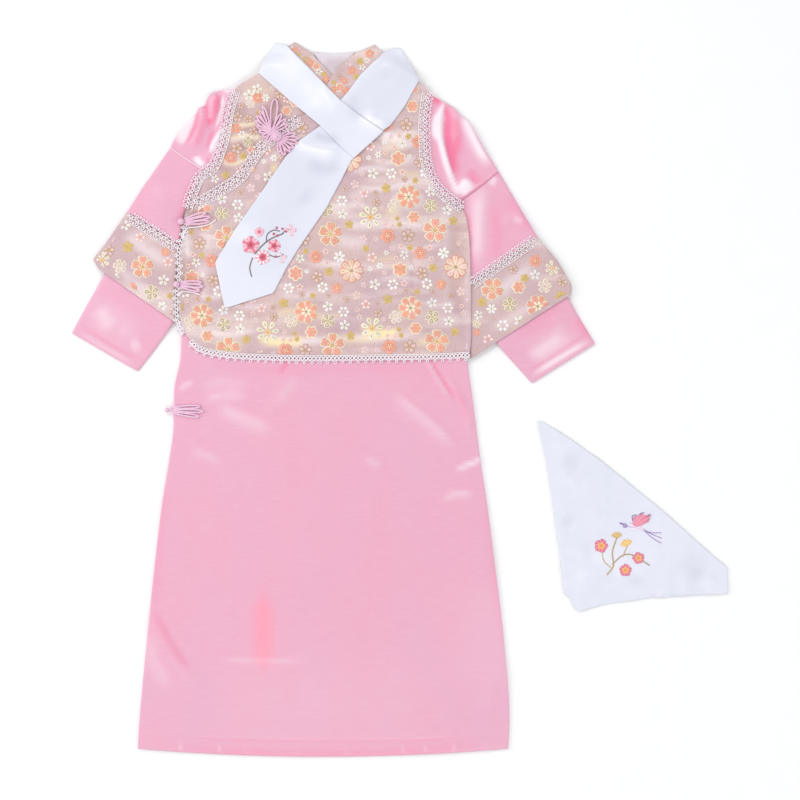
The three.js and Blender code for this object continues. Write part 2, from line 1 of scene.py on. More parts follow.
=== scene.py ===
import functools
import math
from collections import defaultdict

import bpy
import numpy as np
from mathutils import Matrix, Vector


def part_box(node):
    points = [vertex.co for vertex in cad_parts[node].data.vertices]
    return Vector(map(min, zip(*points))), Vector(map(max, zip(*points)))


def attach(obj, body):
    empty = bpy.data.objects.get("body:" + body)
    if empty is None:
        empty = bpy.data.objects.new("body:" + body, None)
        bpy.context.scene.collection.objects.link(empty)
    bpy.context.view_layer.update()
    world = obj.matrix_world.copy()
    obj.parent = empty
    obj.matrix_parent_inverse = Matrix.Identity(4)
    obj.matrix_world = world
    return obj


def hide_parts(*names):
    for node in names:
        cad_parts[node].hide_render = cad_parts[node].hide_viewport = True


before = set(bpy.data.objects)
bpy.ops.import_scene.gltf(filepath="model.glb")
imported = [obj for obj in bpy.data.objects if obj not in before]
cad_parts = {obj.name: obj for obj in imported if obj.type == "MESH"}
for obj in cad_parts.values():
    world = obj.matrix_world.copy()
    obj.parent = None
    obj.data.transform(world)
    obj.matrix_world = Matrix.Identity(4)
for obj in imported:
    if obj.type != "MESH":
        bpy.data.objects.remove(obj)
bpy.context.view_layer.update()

# A child's Manchu style dress set, laid flat: satin robe, brocade vest with lace and knotted
# frogs, scarf wound once round the neck, and a handkerchief.
#
# Tables are in millimetres, X from the robe's centre line and Y from its hem, as in the part's
# source. Every piece is laid on a height map, in the order in which the real ones lie.


# ---------------------------------------------------------------- sizes

MM = 0.001
HEM_LEFT, HEM_LOW = -217.0, 1.0  # lowest X and Y of the robe in these tables
CLOTH = 1.0  # shell of the satin and the brocade
GAP = 0.3  # between pieces that touch
BAND_HOLLOW = 3.8  # inside a brocade band, round the cuff that it holds
UNDER_ROOM = 0.5  # under the brocade, for the flowers on its underside
RIM = 0.9  # from a cut edge to the first row of corners inside it
EDGE_EASE = 0.3 * CLOTH  # by which a sheet thins at its edges, above and below
SIDE_RADIUS = 0.65  # of a tube's side edges, as a share of its height

CELL = 1.5  # height map
MAP_LEFT, MAP_BOTTOM = -322.0, -32.0
MAP_COLUMNS, MAP_ROWS = 552, 592
DRAPE_REACH = 36  # round a piece that is being laid, where the map is worked out
RELIEF_BLUR = 24  # rounds of blurring, against which a fold counts as high or low for the painted relief shading
STROKE_SPACING = 3.0  # of the points along a stroke
STROKE_REACH = 2.6  # widths beyond which a stroke is too faint to matter

robe_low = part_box("robe_front")[0]
ORIGIN = np.array([robe_low.x - HEM_LEFT * MM, robe_low.y - HEM_LOW * MM, 0.0])

rng = np.random.default_rng(7)
GRID_X, GRID_Y = np.meshgrid(
    MAP_LEFT + CELL * np.arange(MAP_COLUMNS), MAP_BOTTOM + CELL * np.arange(MAP_ROWS)
)
skyline = np.zeros((MAP_ROWS, MAP_COLUMNS))  # top of all that is laid so far
sheets = []  # piece, plan, layers and what it rests on
sewn_on = defaultdict(list)  # raised pieces, by the name of the sheet that carries them


# ---------------------------------------------------------------- camera, lights, floor

SOFTBOXES = {  # place, size, watts
    "softbox_top": ((-0.35, 1.5, 1.7), (1.0, 0.6), 9),
    "softbox_left": ((-1.9, 0.15, 1.25), (0.5, 1.4), 15),
    "softbox_right": ((1.9, -0.3, 1.35), (0.5, 1.2), 7),
    "softbox_low": ((0.1, -1.5, 1.7), (1.2, 0.5), 7),
}
CAMERA_PLACE = (0.0005, -0.001, 2.172)
ROOM_COLOUR, ROOM_GLOW = (0.97, 0.98, 1.0, 1.0), 0.62
PAPER_REACH, PAPER_TOP = 4, -0.0004


def add_object(name, data):
    made = bpy.data.objects.new(name, data)
    bpy.context.collection.objects.link(made)
    return made


def add_camera():
    data = bpy.data.cameras.new("camera")
    data.lens = 85
    data.sensor_width = 36
    camera = add_object("camera", data)
    camera.location = CAMERA_PLACE
    bpy.context.scene.camera = camera


def add_softbox(name, location, size, watts):
    data = bpy.data.lights.new(name, "AREA")
    data.shape = "RECTANGLE"
    data.size, data.size_y = size
    data.energy = watts
    light = add_object(name, data)
    light.location = location
    aim = -light.location
    light.rotation_euler = aim.to_track_quat("-Z", "Y").to_euler()


def add_lights():
    world = bpy.data.worlds.new("studio")
    world.use_nodes = True
    room = world.node_tree.nodes["Background"]
    room.inputs["Color"].default_value = ROOM_COLOUR
    room.inputs["Strength"].default_value = ROOM_GLOW
    bpy.context.scene.world = world
    bpy.context.scene.view_settings.view_transform = "Standard"
    for name, (location, size, watts) in SOFTBOXES.items():
        add_softbox(name, location, size, watts)


def add_floor():
    """A wide sheet of white paper under the set, which is only a stage."""
    mesh = bpy.data.meshes.new("floor")
    corners = [(x * PAPER_REACH, y * PAPER_REACH, PAPER_TOP)
               for x, y in ((-1, -1), (1, -1), (1, 1), (-1, 1))]
    mesh.from_pydata(corners, [], [(0, 1, 2, 3)])
    mesh.materials.append(floor_material())
    add_object("floor", mesh)


# ---------------------------------------------------------------- height maps

def blend(grid, row, column):
    """A grid's values between the four cells nearest to each place."""
    i, k = row.astype(int), column.astype(int)
    v, u = row - i, column - k
    low = grid[i, k] * (1 - u) + grid[i, k + 1] * u
    high = grid[i + 1, k] * (1 - u) + grid[i + 1, k + 1] * u
    return low * (1 - v) + high * v


def sample(field, x, y):
    """The map's value between its cells."""
    column = np.clip((x - MAP_LEFT) / CELL, 0, MAP_COLUMNS - 1.001)
    row = np.clip((y - MAP_BOTTOM) / CELL, 0, MAP_ROWS - 1.001)
    return blend(field, row, column)


def sample_one(field, x, y):
    return sample(field, np.array([x]), np.array([y]))[0]


def blur(field, times):
    """A map smoothed over its neighbouring cells, a number of times."""
    for _ in range(times):
        field = np.pad(field, 1, mode="edge")
        field = (field[:, :-2] + 2 * field[:, 1:-1] + field[:, 2:]) / 4
        field = (field[:-2] + 2 * field[1:-1] + field[2:]) / 4
    return field


def widened(field, cells):
    """A map whose high places reach some cells further."""
    for _ in range(cells):
        field = np.pad(field, 1, mode="edge")
        field = np.maximum(np.maximum(field[:, :-2], field[:, 1:-1]), field[:, 2:])
        field = np.maximum(np.maximum(field[:-2], field[1:-1]), field[2:])
    return field


def window(x, y, margin):
    """The part of the map round some points."""
    first_column = max(0, int((x.min() - margin - MAP_LEFT) / CELL))
    last_column = min(MAP_COLUMNS, int((x.max() + margin - MAP_LEFT) / CELL) + 2)
    first_row = max(0, int((y.min() - margin - MAP_BOTTOM) / CELL))
    last_row = min(MAP_ROWS, int((y.max() + margin - MAP_BOTTOM) / CELL) + 2)
    return slice(first_row, last_row), slice(first_column, last_column)


def draped(x, y, soft):
    """Lower side of a cloth over these points: just clear of what it lies on, with soft steps."""
    area = window(x, y, DRAPE_REACH)
    floor = np.where(skyline[area] > 0, skyline[area] + GAP, 0.0)
    floor = widened(floor, 2)
    height = floor
    for _ in range(soft):
        height = np.maximum(floor, blur(height, 1))
    field = np.zeros_like(skyline)
    field[area] = blur(height, 3)
    return field


def inside(x, y):
    """The cells of the map under a grid of points."""
    outline_x = np.concatenate([x[0], x[1:, -1], x[-1, -2::-1], x[-2:0:-1, 0]])
    outline_y = np.concatenate([y[0], y[1:, -1], y[-1, -2::-1], y[-2:0:-1, 0]])
    area = window(x, y, 2)
    cell_x, cell_y = GRID_X[area], GRID_Y[area]
    odd = np.zeros(cell_x.shape, bool)
    next_x, next_y = np.roll(outline_x, -1), np.roll(outline_y, -1)
    for xa, ya, xb, yb in zip(outline_x, outline_y, next_x, next_y):
        if ya != yb:
            crosses = (ya > cell_y) != (yb > cell_y)
            odd ^= crosses & (cell_x < (xb - xa) * (cell_y - ya) / (yb - ya) + xa)
    mask = np.zeros(skyline.shape, bool)
    mask[area] = odd
    return mask


def curve_points(path, spacing):
    """Points along a smooth curve through the path's points."""
    points = np.array(path, float)
    padded = np.vstack([2 * points[0] - points[1], points, 2 * points[-1] - points[-2]])
    found = []
    for a, b, c, d in zip(padded, padded[1:], padded[2:], padded[3:]):
        count = max(1, int(np.linalg.norm(c - b) / spacing))
        for t in np.arange(count) / count:
            found.append(
                0.5 * (2 * b + (c - a) * t + (2 * a - 5 * b + 4 * c - d) * t ** 2
                       + (3 * b - a - 3 * c + d) * t ** 3)
            )
    found.append(points[-1])
    return np.array(found)


def headings(points):
    """Unit directions along a line of points."""
    heading = np.gradient(points, axis=0)
    return heading / np.linalg.norm(heading, axis=1)[:, None]


def strokes(rows, fade=0.3):
    """A map of soft strokes. A row is a path, the amount on it, and its width at its left side
    and at its right side, or one width for both."""
    field = np.zeros_like(skyline)
    for path, amount, *widths in rows:
        points = curve_points(path, STROKE_SPACING)
        area = window(points[:, 0], points[:, 1], STROKE_REACH * max(widths))
        offset_x = GRID_X[area][..., None] - points[:, 0]
        offset_y = GRID_Y[area][..., None] - points[:, 1]
        nearest = np.argmin(offset_x ** 2 + offset_y ** 2, axis=-1)
        heading = headings(points)[nearest]
        near_x = np.take_along_axis(offset_x, nearest[..., None], -1)[..., 0]
        near_y = np.take_along_axis(offset_y, nearest[..., None], -1)[..., 0]
        side = heading[..., 0] * near_y - heading[..., 1] * near_x
        past = heading[..., 0] * near_x + heading[..., 1] * near_y
        width = np.where(side > 0, widths[0], widths[-1])
        station = nearest / (len(points) - 1)
        end = np.clip(np.minimum(station, 1 - station) / fade, 0, 1)
        end = end * end * (3 - 2 * end)
        away = (side ** 2 + np.where(end <= 0, past, 0) ** 2) / width ** 2
        field[area] += amount * end * np.exp(-away)
    return field


def eased(at):
    """Places on a coarse grid, drawn softly towards its cells."""
    part = at - at.astype(int)
    return at.astype(int) + part * part * (3 - 2 * part)


def soft_noise(width, height):
    """Seeded smooth noise from about -1 to 1 with lumps of one width and height."""
    row_step, column_step = round(height / CELL), round(width / CELL)
    rows, columns = MAP_ROWS // row_step + 3, MAP_COLUMNS // column_step + 3
    coarse = rng.uniform(-1, 1, (rows, columns))
    at_row = eased(np.arange(MAP_ROWS) / row_step)
    at_column = eased(np.arange(MAP_COLUMNS) / column_step)
    return blend(coarse, at_row[:, None], at_column[None, :])


# ---------------------------------------------------------------- grids over sections

def between(s, values, at, smooth):
    """Values at stations: straight, or by a monotone cubic, which bends no further than they do."""
    gaps = np.diff(s)[:, None]
    slope = np.diff(values, axis=0) / gaps
    index = np.clip(np.searchsorted(s, at, side="right") - 1, 0, len(s) - 2)
    t = ((at - s[index]) / gaps[index, 0])[:, None]
    if not smooth or len(s) < 3:
        return values[index] + slope[index] * t * gaps[index]
    tangent = np.zeros_like(values)
    tangent[0], tangent[-1] = slope[0], slope[-1]
    product = slope[:-1] * slope[1:]
    total = slope[:-1] + slope[1:]
    safe = np.where(product > 0, total, 1.0)
    tangent[1:-1] = np.where(product > 0, 2 * product / safe, 0.0)
    start, end = values[index], values[index + 1]
    out, into = tangent[index] * gaps[index], tangent[index + 1] * gaps[index]
    return (
        start * (2 * t ** 3 - 3 * t ** 2 + 1) + out * (t ** 3 - 2 * t ** 2 + t)
        + end * (3 * t ** 2 - 2 * t ** 3) + into * (t ** 3 - t ** 2)
    )


def stations(length, step, extra=()):
    """From 0 to 1: close together at both rims, and a step apart between them."""
    count = max(2, round((length - 2 * RIM) / step))
    inner = np.linspace(RIM, length - RIM, count + 1)
    return np.unique(np.concatenate([[0.0], inner, [length], extra])) / length


def level(rows):
    """Sections that run straight across, from rows of y, left, right and perhaps bow."""
    return [(left, y, right, y, *bow) for y, left, right, *bow in rows]


class Plan:
    """A grid of points over sections x1, y1, x2, y2 and bow, turned so that it faces up."""

    def __init__(self, sections, step, smooth=False, extra=(), narrow=None):
        rows = np.array([tuple(row) + (0,) * (5 - len(row)) for row in sections], float)
        across = rows[0, 2:4] - rows[0, 0:2]
        onward = rows[-1, 0:2] + rows[-1, 2:4] - rows[0, 0:2] - rows[0, 2:4]
        if across[0] * onward[1] - across[1] * onward[0] < 0:
            rows = rows[:, [2, 3, 0, 1, 4]] * np.array([1, 1, 1, 1, -1])
        middle = (rows[:, 0:2] + rows[:, 2:4]) / 2
        moves = np.linalg.norm(np.diff(middle, axis=0), axis=1)
        s = np.concatenate([[0.0], np.cumsum(moves)])
        self.length = s[-1]
        self.width = np.linalg.norm(rows[:, 2:4] - rows[:, 0:2], axis=1).max()
        self.v = stations(self.length, step, extra)
        self.u = stations(self.width, narrow or step)
        at = between(s, rows, self.v * self.length, smooth)
        x1, y1, x2, y2, bow = (at[:, n:n + 1] for n in range(5))
        u = self.u[None, :]
        self.reach = np.hypot(x2 - x1, y2 - y1)
        sideways = bow * 4 * u * (1 - u)
        self.x = x1 + (x2 - x1) * u - (y2 - y1) / self.reach * sideways
        self.y = y1 + (y2 - y1) * u + (x2 - x1) / self.reach * sideways

    def area(self):
        """Flat area in square metres."""
        x, y = self.x, self.y
        diagonal_x, diagonal_y = x[1:, 1:] - x[:-1, :-1], y[1:, 1:] - y[:-1, :-1]
        other_x, other_y = x[1:, :-1] - x[:-1, 1:], y[1:, :-1] - y[:-1, 1:]
        return abs(diagonal_x * other_y - diagonal_y * other_x).sum() / 2 * MM * MM


# ---------------------------------------------------------------- meshes

def add_mesh(name, points, faces, material, colours, attribute):
    """A piece from points in the tables' millimetres, riding on the one body."""
    mesh = bpy.data.meshes.new(name)
    placed = ORIGIN + np.asarray(points) * MM
    mesh.from_pydata(placed.tolist(), [], faces)
    mesh.polygons.foreach_set("use_smooth", [True] * len(mesh.polygons))
    layer = mesh.color_attributes.new(name=attribute, type="FLOAT_COLOR", domain="POINT")
    opaque = np.ones((len(placed), 4), np.float32)
    opaque[:, :3] = colours
    layer.data.foreach_set("color", opaque.ravel())
    mesh.materials.append(material)
    mesh.validate()
    piece = add_object(name, mesh)
    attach(piece, "root")
    return piece


def grid_quads(index):
    """Faces of a grid of corners that runs right and then up, seen from above."""
    corners = [index[:-1, :-1], index[:-1, 1:], index[1:, 1:], index[1:, :-1]]
    return np.stack([c.ravel() for c in corners], axis=1)


def closed_index(rows, around, looped=False):
    """Corner numbers of a grid that closes on itself around, and along too if it is looped."""
    index = np.arange(rows * around).reshape(rows, around)
    index = np.hstack([index, index[:, :1]])
    return np.vstack([index, index[:1]]) if looped else index


def shell_mesh(x, y, top):
    """A closed thin sheet under a grid of top heights, with eased rims."""
    rows, columns = x.shape
    ease = np.zeros(x.shape)
    ease[[0, -1], :] = EDGE_EASE
    ease[:, [0, -1]] = EDGE_EASE
    upper = np.stack([x, y, top - ease], axis=-1).reshape(-1, 3)
    lower = np.stack([x, y, top - CLOTH + ease], axis=-1).reshape(-1, 3)
    index = np.arange(rows * columns).reshape(rows, columns)
    rim = np.concatenate([
        index[0, :-1], index[:-1, -1], index[-1, :0:-1], index[:0:-1, 0],
    ])
    after = np.roll(rim, -1)
    below = rows * columns
    sides = np.stack([rim + below, after + below, after, rim], axis=1)
    faces = np.vstack([grid_quads(index), grid_quads(index)[:, ::-1] + below, sides])
    return np.vstack([upper, lower]), faces


class Looks:
    """Painted light and stains on a cloth, as maps: painted shade, painted highlights, and a third
    map that holds painted gold sheen on the brocade and a stain on the satin. Relief shading paints
    shade into hollows and highlights onto ridges.
    """

    def __init__(self, painted_shade=(), painted_highlight=(), gold=(), painted_relief_shading=0.0):
        self.painted_shade = strokes(painted_shade)
        self.painted_highlight = strokes(painted_highlight)
        self.gold = strokes(gold)
        self.painted_relief_shading = painted_relief_shading

    def tone(self, x, y, top):
        # painted relief shading: shade painted into the hollows, highlights painted onto the ridges
        relief = (top - blur(top, RELIEF_BLUR)) * self.painted_relief_shading
        painted_shade = np.clip(self.painted_shade + np.clip(-relief, 0, 1), 0, 1)
        painted_highlight = np.clip(self.painted_highlight + np.clip(relief, 0, 1), 0, 1)
        fields = (painted_shade, painted_highlight, np.clip(self.gold, 0, 1))
        return np.stack([sample(field, x, y) for field in fields], axis=-1)


def declare_later(name, plan, layers, points, faces, tone, cloth, node, rests_on):
    """Makes the piece, hides the node that it covers, and keeps it in the list of sheets with its
    plan, layers and what it rests on.
    """
    piece = add_mesh(name, points, faces.tolist(), CLOTHS[cloth], tone, "tone")
    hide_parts(node)
    sheets.append((piece, plan, layers, rests_on))


def lay_sheet(name, sections, cloth, node, *, step, folds=None, looks=None, soft=40,
              smooth=False, extra=(), narrow=None, rests_on=()):
    """Lays a flat piece of cloth on what is there, with its folds."""
    plan = Plan(sections, step, smooth, extra, narrow)
    low = draped(plan.x, plan.y, soft)
    if folds is not None:
        carried = np.where(skyline > 0, skyline + GAP / 2, 0.0)
        low = np.maximum(low + folds, carried)
    top = low + CLOTH
    mask = inside(plan.x, plan.y)
    skyline[mask] = np.maximum(skyline[mask], top[mask])
    points, faces = shell_mesh(plan.x, plan.y, sample(top, plan.x, plan.y))
    tone = (looks or Looks()).tone(plan.x, plan.y, top).reshape(-1, 3)
    declare_later(name, plan, 1, points, faces, np.vstack([tone, tone]), cloth, node, rests_on)


def ring(x, y, low, high):
    """Closed rings of corners: along the upper layer, and back along the lower one."""
    upper = np.stack([x, y, high], axis=-1)
    lower = np.stack([x, y, low], axis=-1)[:, -2:0:-1]
    return np.concatenate([upper, lower], axis=1)


def tube_layers(plan, inset, bottom, height, folds):
    """Lower and upper heights of a flattened tube with round side edges."""
    away = np.minimum(plan.u, 1 - plan.u)[None, :] * plan.reach
    radius = np.maximum(SIDE_RADIUS * height, 0.2)
    bulge = np.sqrt(np.clip(1 - (1 - np.clip(away / radius, 0, 1)) ** 2, 0, 1))
    middle = bottom + inset + height / 2
    return middle - bulge * height / 2, middle + bulge * (height / 2 + folds)


def nearest_heights(plan, heights, mask, at_a_time=2000):
    """Heights of a grid's nearest corners at the cells of a mask."""
    cells = np.stack([GRID_X[mask], GRID_Y[mask]], axis=1)
    corners = np.stack([plan.x.ravel(), plan.y.ravel()], axis=1)
    found = []
    for part in np.array_split(cells, math.ceil(len(cells) / at_a_time)):
        gaps = ((part[:, None, :] - corners[None, :, :]) ** 2).sum(axis=-1)
        found.append(heights.ravel()[np.argmin(gaps, axis=1)])
    return np.concatenate(found)


def lay_tube(name, sections, cloth, node, *, bottom, hollow, folds, looks, step=2.6):
    """Lays an empty sleeve. Bottom and hollow are given at its sections, from its top down."""
    plan = Plan(sections, step)
    low = np.interp(plan.v, np.linspace(0, 1, len(bottom)), bottom)[:, None]
    gap = np.interp(plan.v, np.linspace(0, 1, len(hollow)), hollow)[:, None]
    fold = sample(folds, plan.x, plan.y)
    outer_low, outer_high = tube_layers(plan, 0, low, gap + 2 * CLOTH, fold)
    inner_low, inner_high = tube_layers(plan, CLOTH, low, gap, fold)
    shrink = 1 - 2 * CLOTH / plan.reach
    centre_x = (plan.x[:, :1] + plan.x[:, -1:]) / 2
    centre_y = (plan.y[:, :1] + plan.y[:, -1:]) / 2
    inner_x = centre_x + (plan.x - centre_x) * shrink
    inner_y = centre_y + (plan.y - centre_y) * shrink
    outer = ring(plan.x, plan.y, outer_low, outer_high)
    inner = ring(inner_x, inner_y, inner_low, inner_high)
    rows, around = outer.shape[:2]
    index = closed_index(rows, around)
    within = index + rows * around
    first = np.stack([within[0, :-1], within[0, 1:], index[0, 1:], index[0, :-1]], axis=1)
    last = np.stack([index[-1, :-1], index[-1, 1:], within[-1, 1:], within[-1, :-1]], axis=1)
    faces = np.vstack([grid_quads(index), grid_quads(within)[:, ::-1], first, last])
    points = np.vstack([outer.reshape(-1, 3), inner.reshape(-1, 3)])
    mask = inside(plan.x, plan.y)
    skyline[mask] = np.maximum(skyline[mask], nearest_heights(plan, outer_high, mask))
    tone = looks.tone(points[:, 0], points[:, 1], folds)
    declare_later(name, plan, 2, points, faces, tone, cloth, node, ())


# ---------------------------------------------------------------- materials

def srgb(red, green, blue):
    """A colour given as 0 to 255, as Blender's linear values."""
    channels = [value / 255 for value in (red, green, blue)]
    linear = [c / 12.92 if c <= 0.04045 else ((c + 0.055) / 1.055) ** 2.4 for c in channels]
    return (*linear, 1.0)


class Shader:
    """Builds one material's nodes in few words."""

    def __init__(self, name, roughness, **fixed):
        self.material = bpy.data.materials.new(name)
        self.material.use_nodes = True
        self.tree = self.material.node_tree
        self.surface = self.tree.nodes["Principled BSDF"]
        self.surface.inputs["Roughness"].default_value = roughness
        for socket, value in fixed.items():
            self.surface.inputs[socket.replace("_", " ")].default_value = value
        self.place = self.node("ShaderNodeTexCoord").outputs["Object"]

    def node(self, kind, **values):
        node = self.tree.nodes.new(kind)
        for key, value in values.items():
            setattr(node, key, value)
        return node

    def link(self, value, socket):
        if isinstance(value, bpy.types.NodeSocket):
            self.tree.links.new(value, socket)
        else:
            socket.default_value = value

    def texture(self, kind, stretch, turn, **values):
        """A texture over the piece, stretched, and turned by some degrees."""
        place = self.node("ShaderNodeMapping")
        self.link(self.place, place.inputs["Vector"])
        place.inputs["Scale"].default_value = stretch
        place.inputs["Rotation"].default_value = (0, 0, math.radians(turn))
        texture = self.node(kind)
        for socket, value in values.items():
            texture.inputs[socket].default_value = value
        self.link(place.outputs["Vector"], texture.inputs["Vector"])
        return texture.outputs["Fac"]

    def noise(self, scale, detail, stretch=(1, 1, 1), turn=0.0):
        return self.texture("ShaderNodeTexNoise", stretch, turn, Scale=scale, Detail=detail)

    def waves(self, period, turn, wobble=0.0):
        return self.texture("ShaderNodeTexWave", (1, 1, 1), turn,
                            Scale=math.tau / (20 * period), Distortion=wobble)

    def ramp(self, value, low, high, start=0.0, end=1.0):
        """A value from low to high, spread from start to end."""
        scale = self.node("ShaderNodeMapRange", clamp=True)
        self.link(value, scale.inputs["Value"])
        limits = {"From Min": low, "From Max": high, "To Min": start, "To Max": end}
        for socket, limit in limits.items():
            scale.inputs[socket].default_value = limit
        return scale.outputs["Result"]

    def combined(self, operation, a, b):
        node = self.node("ShaderNodeMath", operation=operation)
        self.link(a, node.inputs[0])
        self.link(b, node.inputs[1])
        return node.outputs[0]

    def times(self, a, b):
        return self.combined("MULTIPLY", a, b)

    def layered(self, colour, layers):
        """A colour with others over it, each given by its strength and its srgb values."""
        for strength, over in layers:
            node = self.node("ShaderNodeMix", data_type="RGBA")
            self.link(strength, node.inputs[0])
            self.link(colour, node.inputs[6])
            self.link(srgb(*over), node.inputs[7])
            colour = node.outputs[2]
        return colour

    def attribute(self, name):
        return self.node("ShaderNodeAttribute", attribute_name=name).outputs["Color"]

    def tones(self):
        """How much painted shade, painted highlight and third-map colour a place has, from the
        cloth's Looks: the third is painted gold sheen on the brocade and a stain on the satin.
        """
        parts = self.node("ShaderNodeSeparateColor")
        self.link(self.attribute("tone"), parts.inputs["Color"])
        return parts.outputs[:3]

    def bump(self, height, strength, distance):
        node = self.node("ShaderNodeBump")
        node.inputs["Strength"].default_value = strength
        node.inputs["Distance"].default_value = distance
        self.link(height, node.inputs["Height"])
        self.link(node.outputs["Normal"], self.surface.inputs["Normal"])

    def done(self, colour, roughness=None):
        self.link(colour, self.surface.inputs["Base Color"])
        if roughness is not None:
            self.link(roughness, self.surface.inputs["Roughness"])
        return self.material


def satin(name, base, cooler, painted_shade, painted_highlight, stain, roughness):
    """Satin: long fine threads, cloudy tone, a stain, painted shade in folds, painted highlights
    and a broad soft gloss.
    """
    shader = Shader(name, roughness, Specular_IOR_Level=0.55, Sheen_Weight=0.12,
                    Sheen_Roughness=0.4, Anisotropic=0.35)
    clouds = shader.ramp(shader.noise(9, 4.0, stretch=(1.3, 0.8, 1)), 0.36, 0.66)
    streaks = shader.noise(60, 4.0, stretch=(1, 14, 1))
    lengthways = shader.ramp(shader.noise(46, 4.0, stretch=(12, 1, 1)), 0.42, 0.75)
    threads = shader.noise(1500, 1.0, stretch=(0.08, 1, 1))
    painted_shade_part, painted_highlight_part, stain_part = shader.tones()
    # over the base: random clouds, weave streaks tinted with the painted highlight colour, a stain,
    # then painted shade and painted highlights
    colour = shader.layered(srgb(*base), [
        (clouds, cooler),
        (shader.times(shader.ramp(streaks, 0.45, 0.8), 0.11), painted_highlight),
        (shader.times(lengthways, 0.03), painted_highlight),
        (stain_part, stain), (painted_shade_part, painted_shade), (painted_highlight_part, painted_highlight),
    ])
    shader.bump(shader.combined("ADD", threads, shader.times(streaks, 0.3)), 0.22, 0.0001)
    return shader.done(colour, shader.ramp(streaks, 0, 1, roughness - 0.02, roughness + 0.04))


def brocade_cloth():
    """The brocade's ground: mauve and rose silk with a fine twill and flecks, painted sheen bands
    and glints, and painted shade, highlights and gold sheen.
    """
    shader = Shader("brocade", 0.5, Specular_IOR_Level=0.45, Sheen_Weight=0.15,
                    Sheen_Roughness=0.45)
    clouds = shader.ramp(shader.noise(17, 3.0), 0.36, 0.64)
    twill = shader.waves(0.0011, turn=32, wobble=1.2)
    flecks = shader.ramp(shader.noise(420, 3.0, stretch=(1, 0.45, 1), turn=20), 0.52, 0.72)
    painted_sheen_bands = shader.ramp(shader.noise(13, 3.0, stretch=(0.4, 2.4, 1)), 0.52, 0.68)
    painted_glints = shader.ramp(shader.noise(900, 1.0, stretch=(0.5, 1, 1)), 0.52, 0.66)
    painted_shade_part, painted_highlight_part, painted_gold_sheen_part = shader.tones()
    # over the ground: random clouds, dark flecks and the twill, then painted sheen bands with
    # painted glints in them, then painted shade, painted highlights and painted gold sheen
    colour = shader.layered(srgb(204, 173, 178), [
        (clouds, (216, 186, 181)),
        (shader.times(flecks, 0.45), (190, 155, 152)),
        (shader.times(twill, 0.14), (240, 222, 226)),
        (shader.times(painted_sheen_bands, 0.6), (248, 229, 231)),
        (shader.times(shader.times(painted_sheen_bands, painted_glints), 0.8), (255, 241, 206)),
        (painted_shade_part, (178, 138, 132)), (painted_highlight_part, (254, 239, 243)), (painted_gold_sheen_part, (254, 234, 184)),
    ])
    shader.bump(shader.combined("ADD", twill, shader.times(flecks, 0.8)), 0.35, 0.0002)
    return shader.done(colour)


def lining_cloth():
    shader = Shader("vest_lining", 0.6, Specular_IOR_Level=0.3, Sheen_Weight=0.1)
    clouds = shader.ramp(shader.noise(30, 3.0), 0.35, 0.65)
    weave = shader.waves(0.0009, turn=90)
    painted_shade_part, painted_highlight_part, _ = shader.tones()
    # painted shade and painted highlights of the lining's fold, from its Looks
    colour = shader.layered(srgb(224, 212, 222), [
        (clouds, (232, 220, 226)), (shader.times(weave, 0.2), (235, 224, 230)),
        (painted_shade_part, (204, 184, 188)), (painted_highlight_part, (246, 240, 246)),
    ])
    shader.bump(weave, 0.2, 0.0001)
    return shader.done(colour)


def thread_work(name, roughness, period, turn=0.0):
    """Woven or stitched thread in the colours that its mesh carries."""
    shader = Shader(name, roughness, Specular_IOR_Level=0.4, Sheen_Weight=0.12)
    strands = shader.waves(period, turn=turn, wobble=0.6)
    shine = (shader.times(strands, 0.16), (255, 250, 244))
    shader.bump(strands, 0.3, 0.00015)
    return shader.done(shader.layered(shader.attribute("thread_colour"), [shine]))


def cord_material(name, base, shade, roughness, period):
    """Twisted cord or crocheted thread, with painted shade between its strands."""
    shader = Shader(name, roughness, Specular_IOR_Level=0.35, Sheen_Weight=0.15)
    twist = shader.waves(period, turn=38, wobble=0.8)
    lumps = shader.ramp(shader.noise(260, 2.0), 0.35, 0.65)
    colour = shader.layered(srgb(*base), [
        (shader.times(twist, 0.5), shade), (shader.times(lumps, 0.18), (255, 252, 254)),
    ])
    shader.bump(twist, 0.4, 0.0002)
    return shader.done(colour)


def floor_material():
    shader = Shader("studio_paper", 0.9, Specular_IOR_Level=0.1)
    grain = (shader.noise(40, 2.0), (254, 254, 254))
    return shader.done(shader.layered(srgb(252, 252, 252), [grain]))


CLOTHS = {  # by cloth
    # satin: name, base, cooler tone, painted shade colour, painted highlight colour, stain colour,
    # roughness
    "pink_satin": satin("pink_satin", (238, 172, 195), (235, 175, 200), (248, 126, 164),
                        (254, 236, 244), (250, 163, 184), 0.36),
    "white_satin": satin("white_satin", (234, 234, 247), (228, 231, 243), (206, 207, 222),
                         (250, 250, 255), (234, 234, 247), 0.38),
    "brocade": brocade_cloth(),
    "lining": lining_cloth(),
}
woven_thread = thread_work("brocade_thread", 0.5, 0.0008, turn=20)
silk_thread = thread_work("embroidery_thread", 0.42, 0.0005)
lace_thread = cord_material("lace_thread", (255, 250, 253), (246, 230, 240), 0.7, 0.0014)
frog_cord = cord_material("frog_cord", (244, 200, 224), (212, 162, 192), 0.5, 0.0022)


# ---------------------------------------------------------------- raised work on the cloth

PAD_SINKS = 0.35  # by which a pad's underside reaches into the cloth
PAD_CUTS, PAD_CUT = 14, 0.84  # how often, and to what share, a hidden corner is drawn in
PAD_CROWN = 0.62  # share of a pad's outline that its raised inner ring has


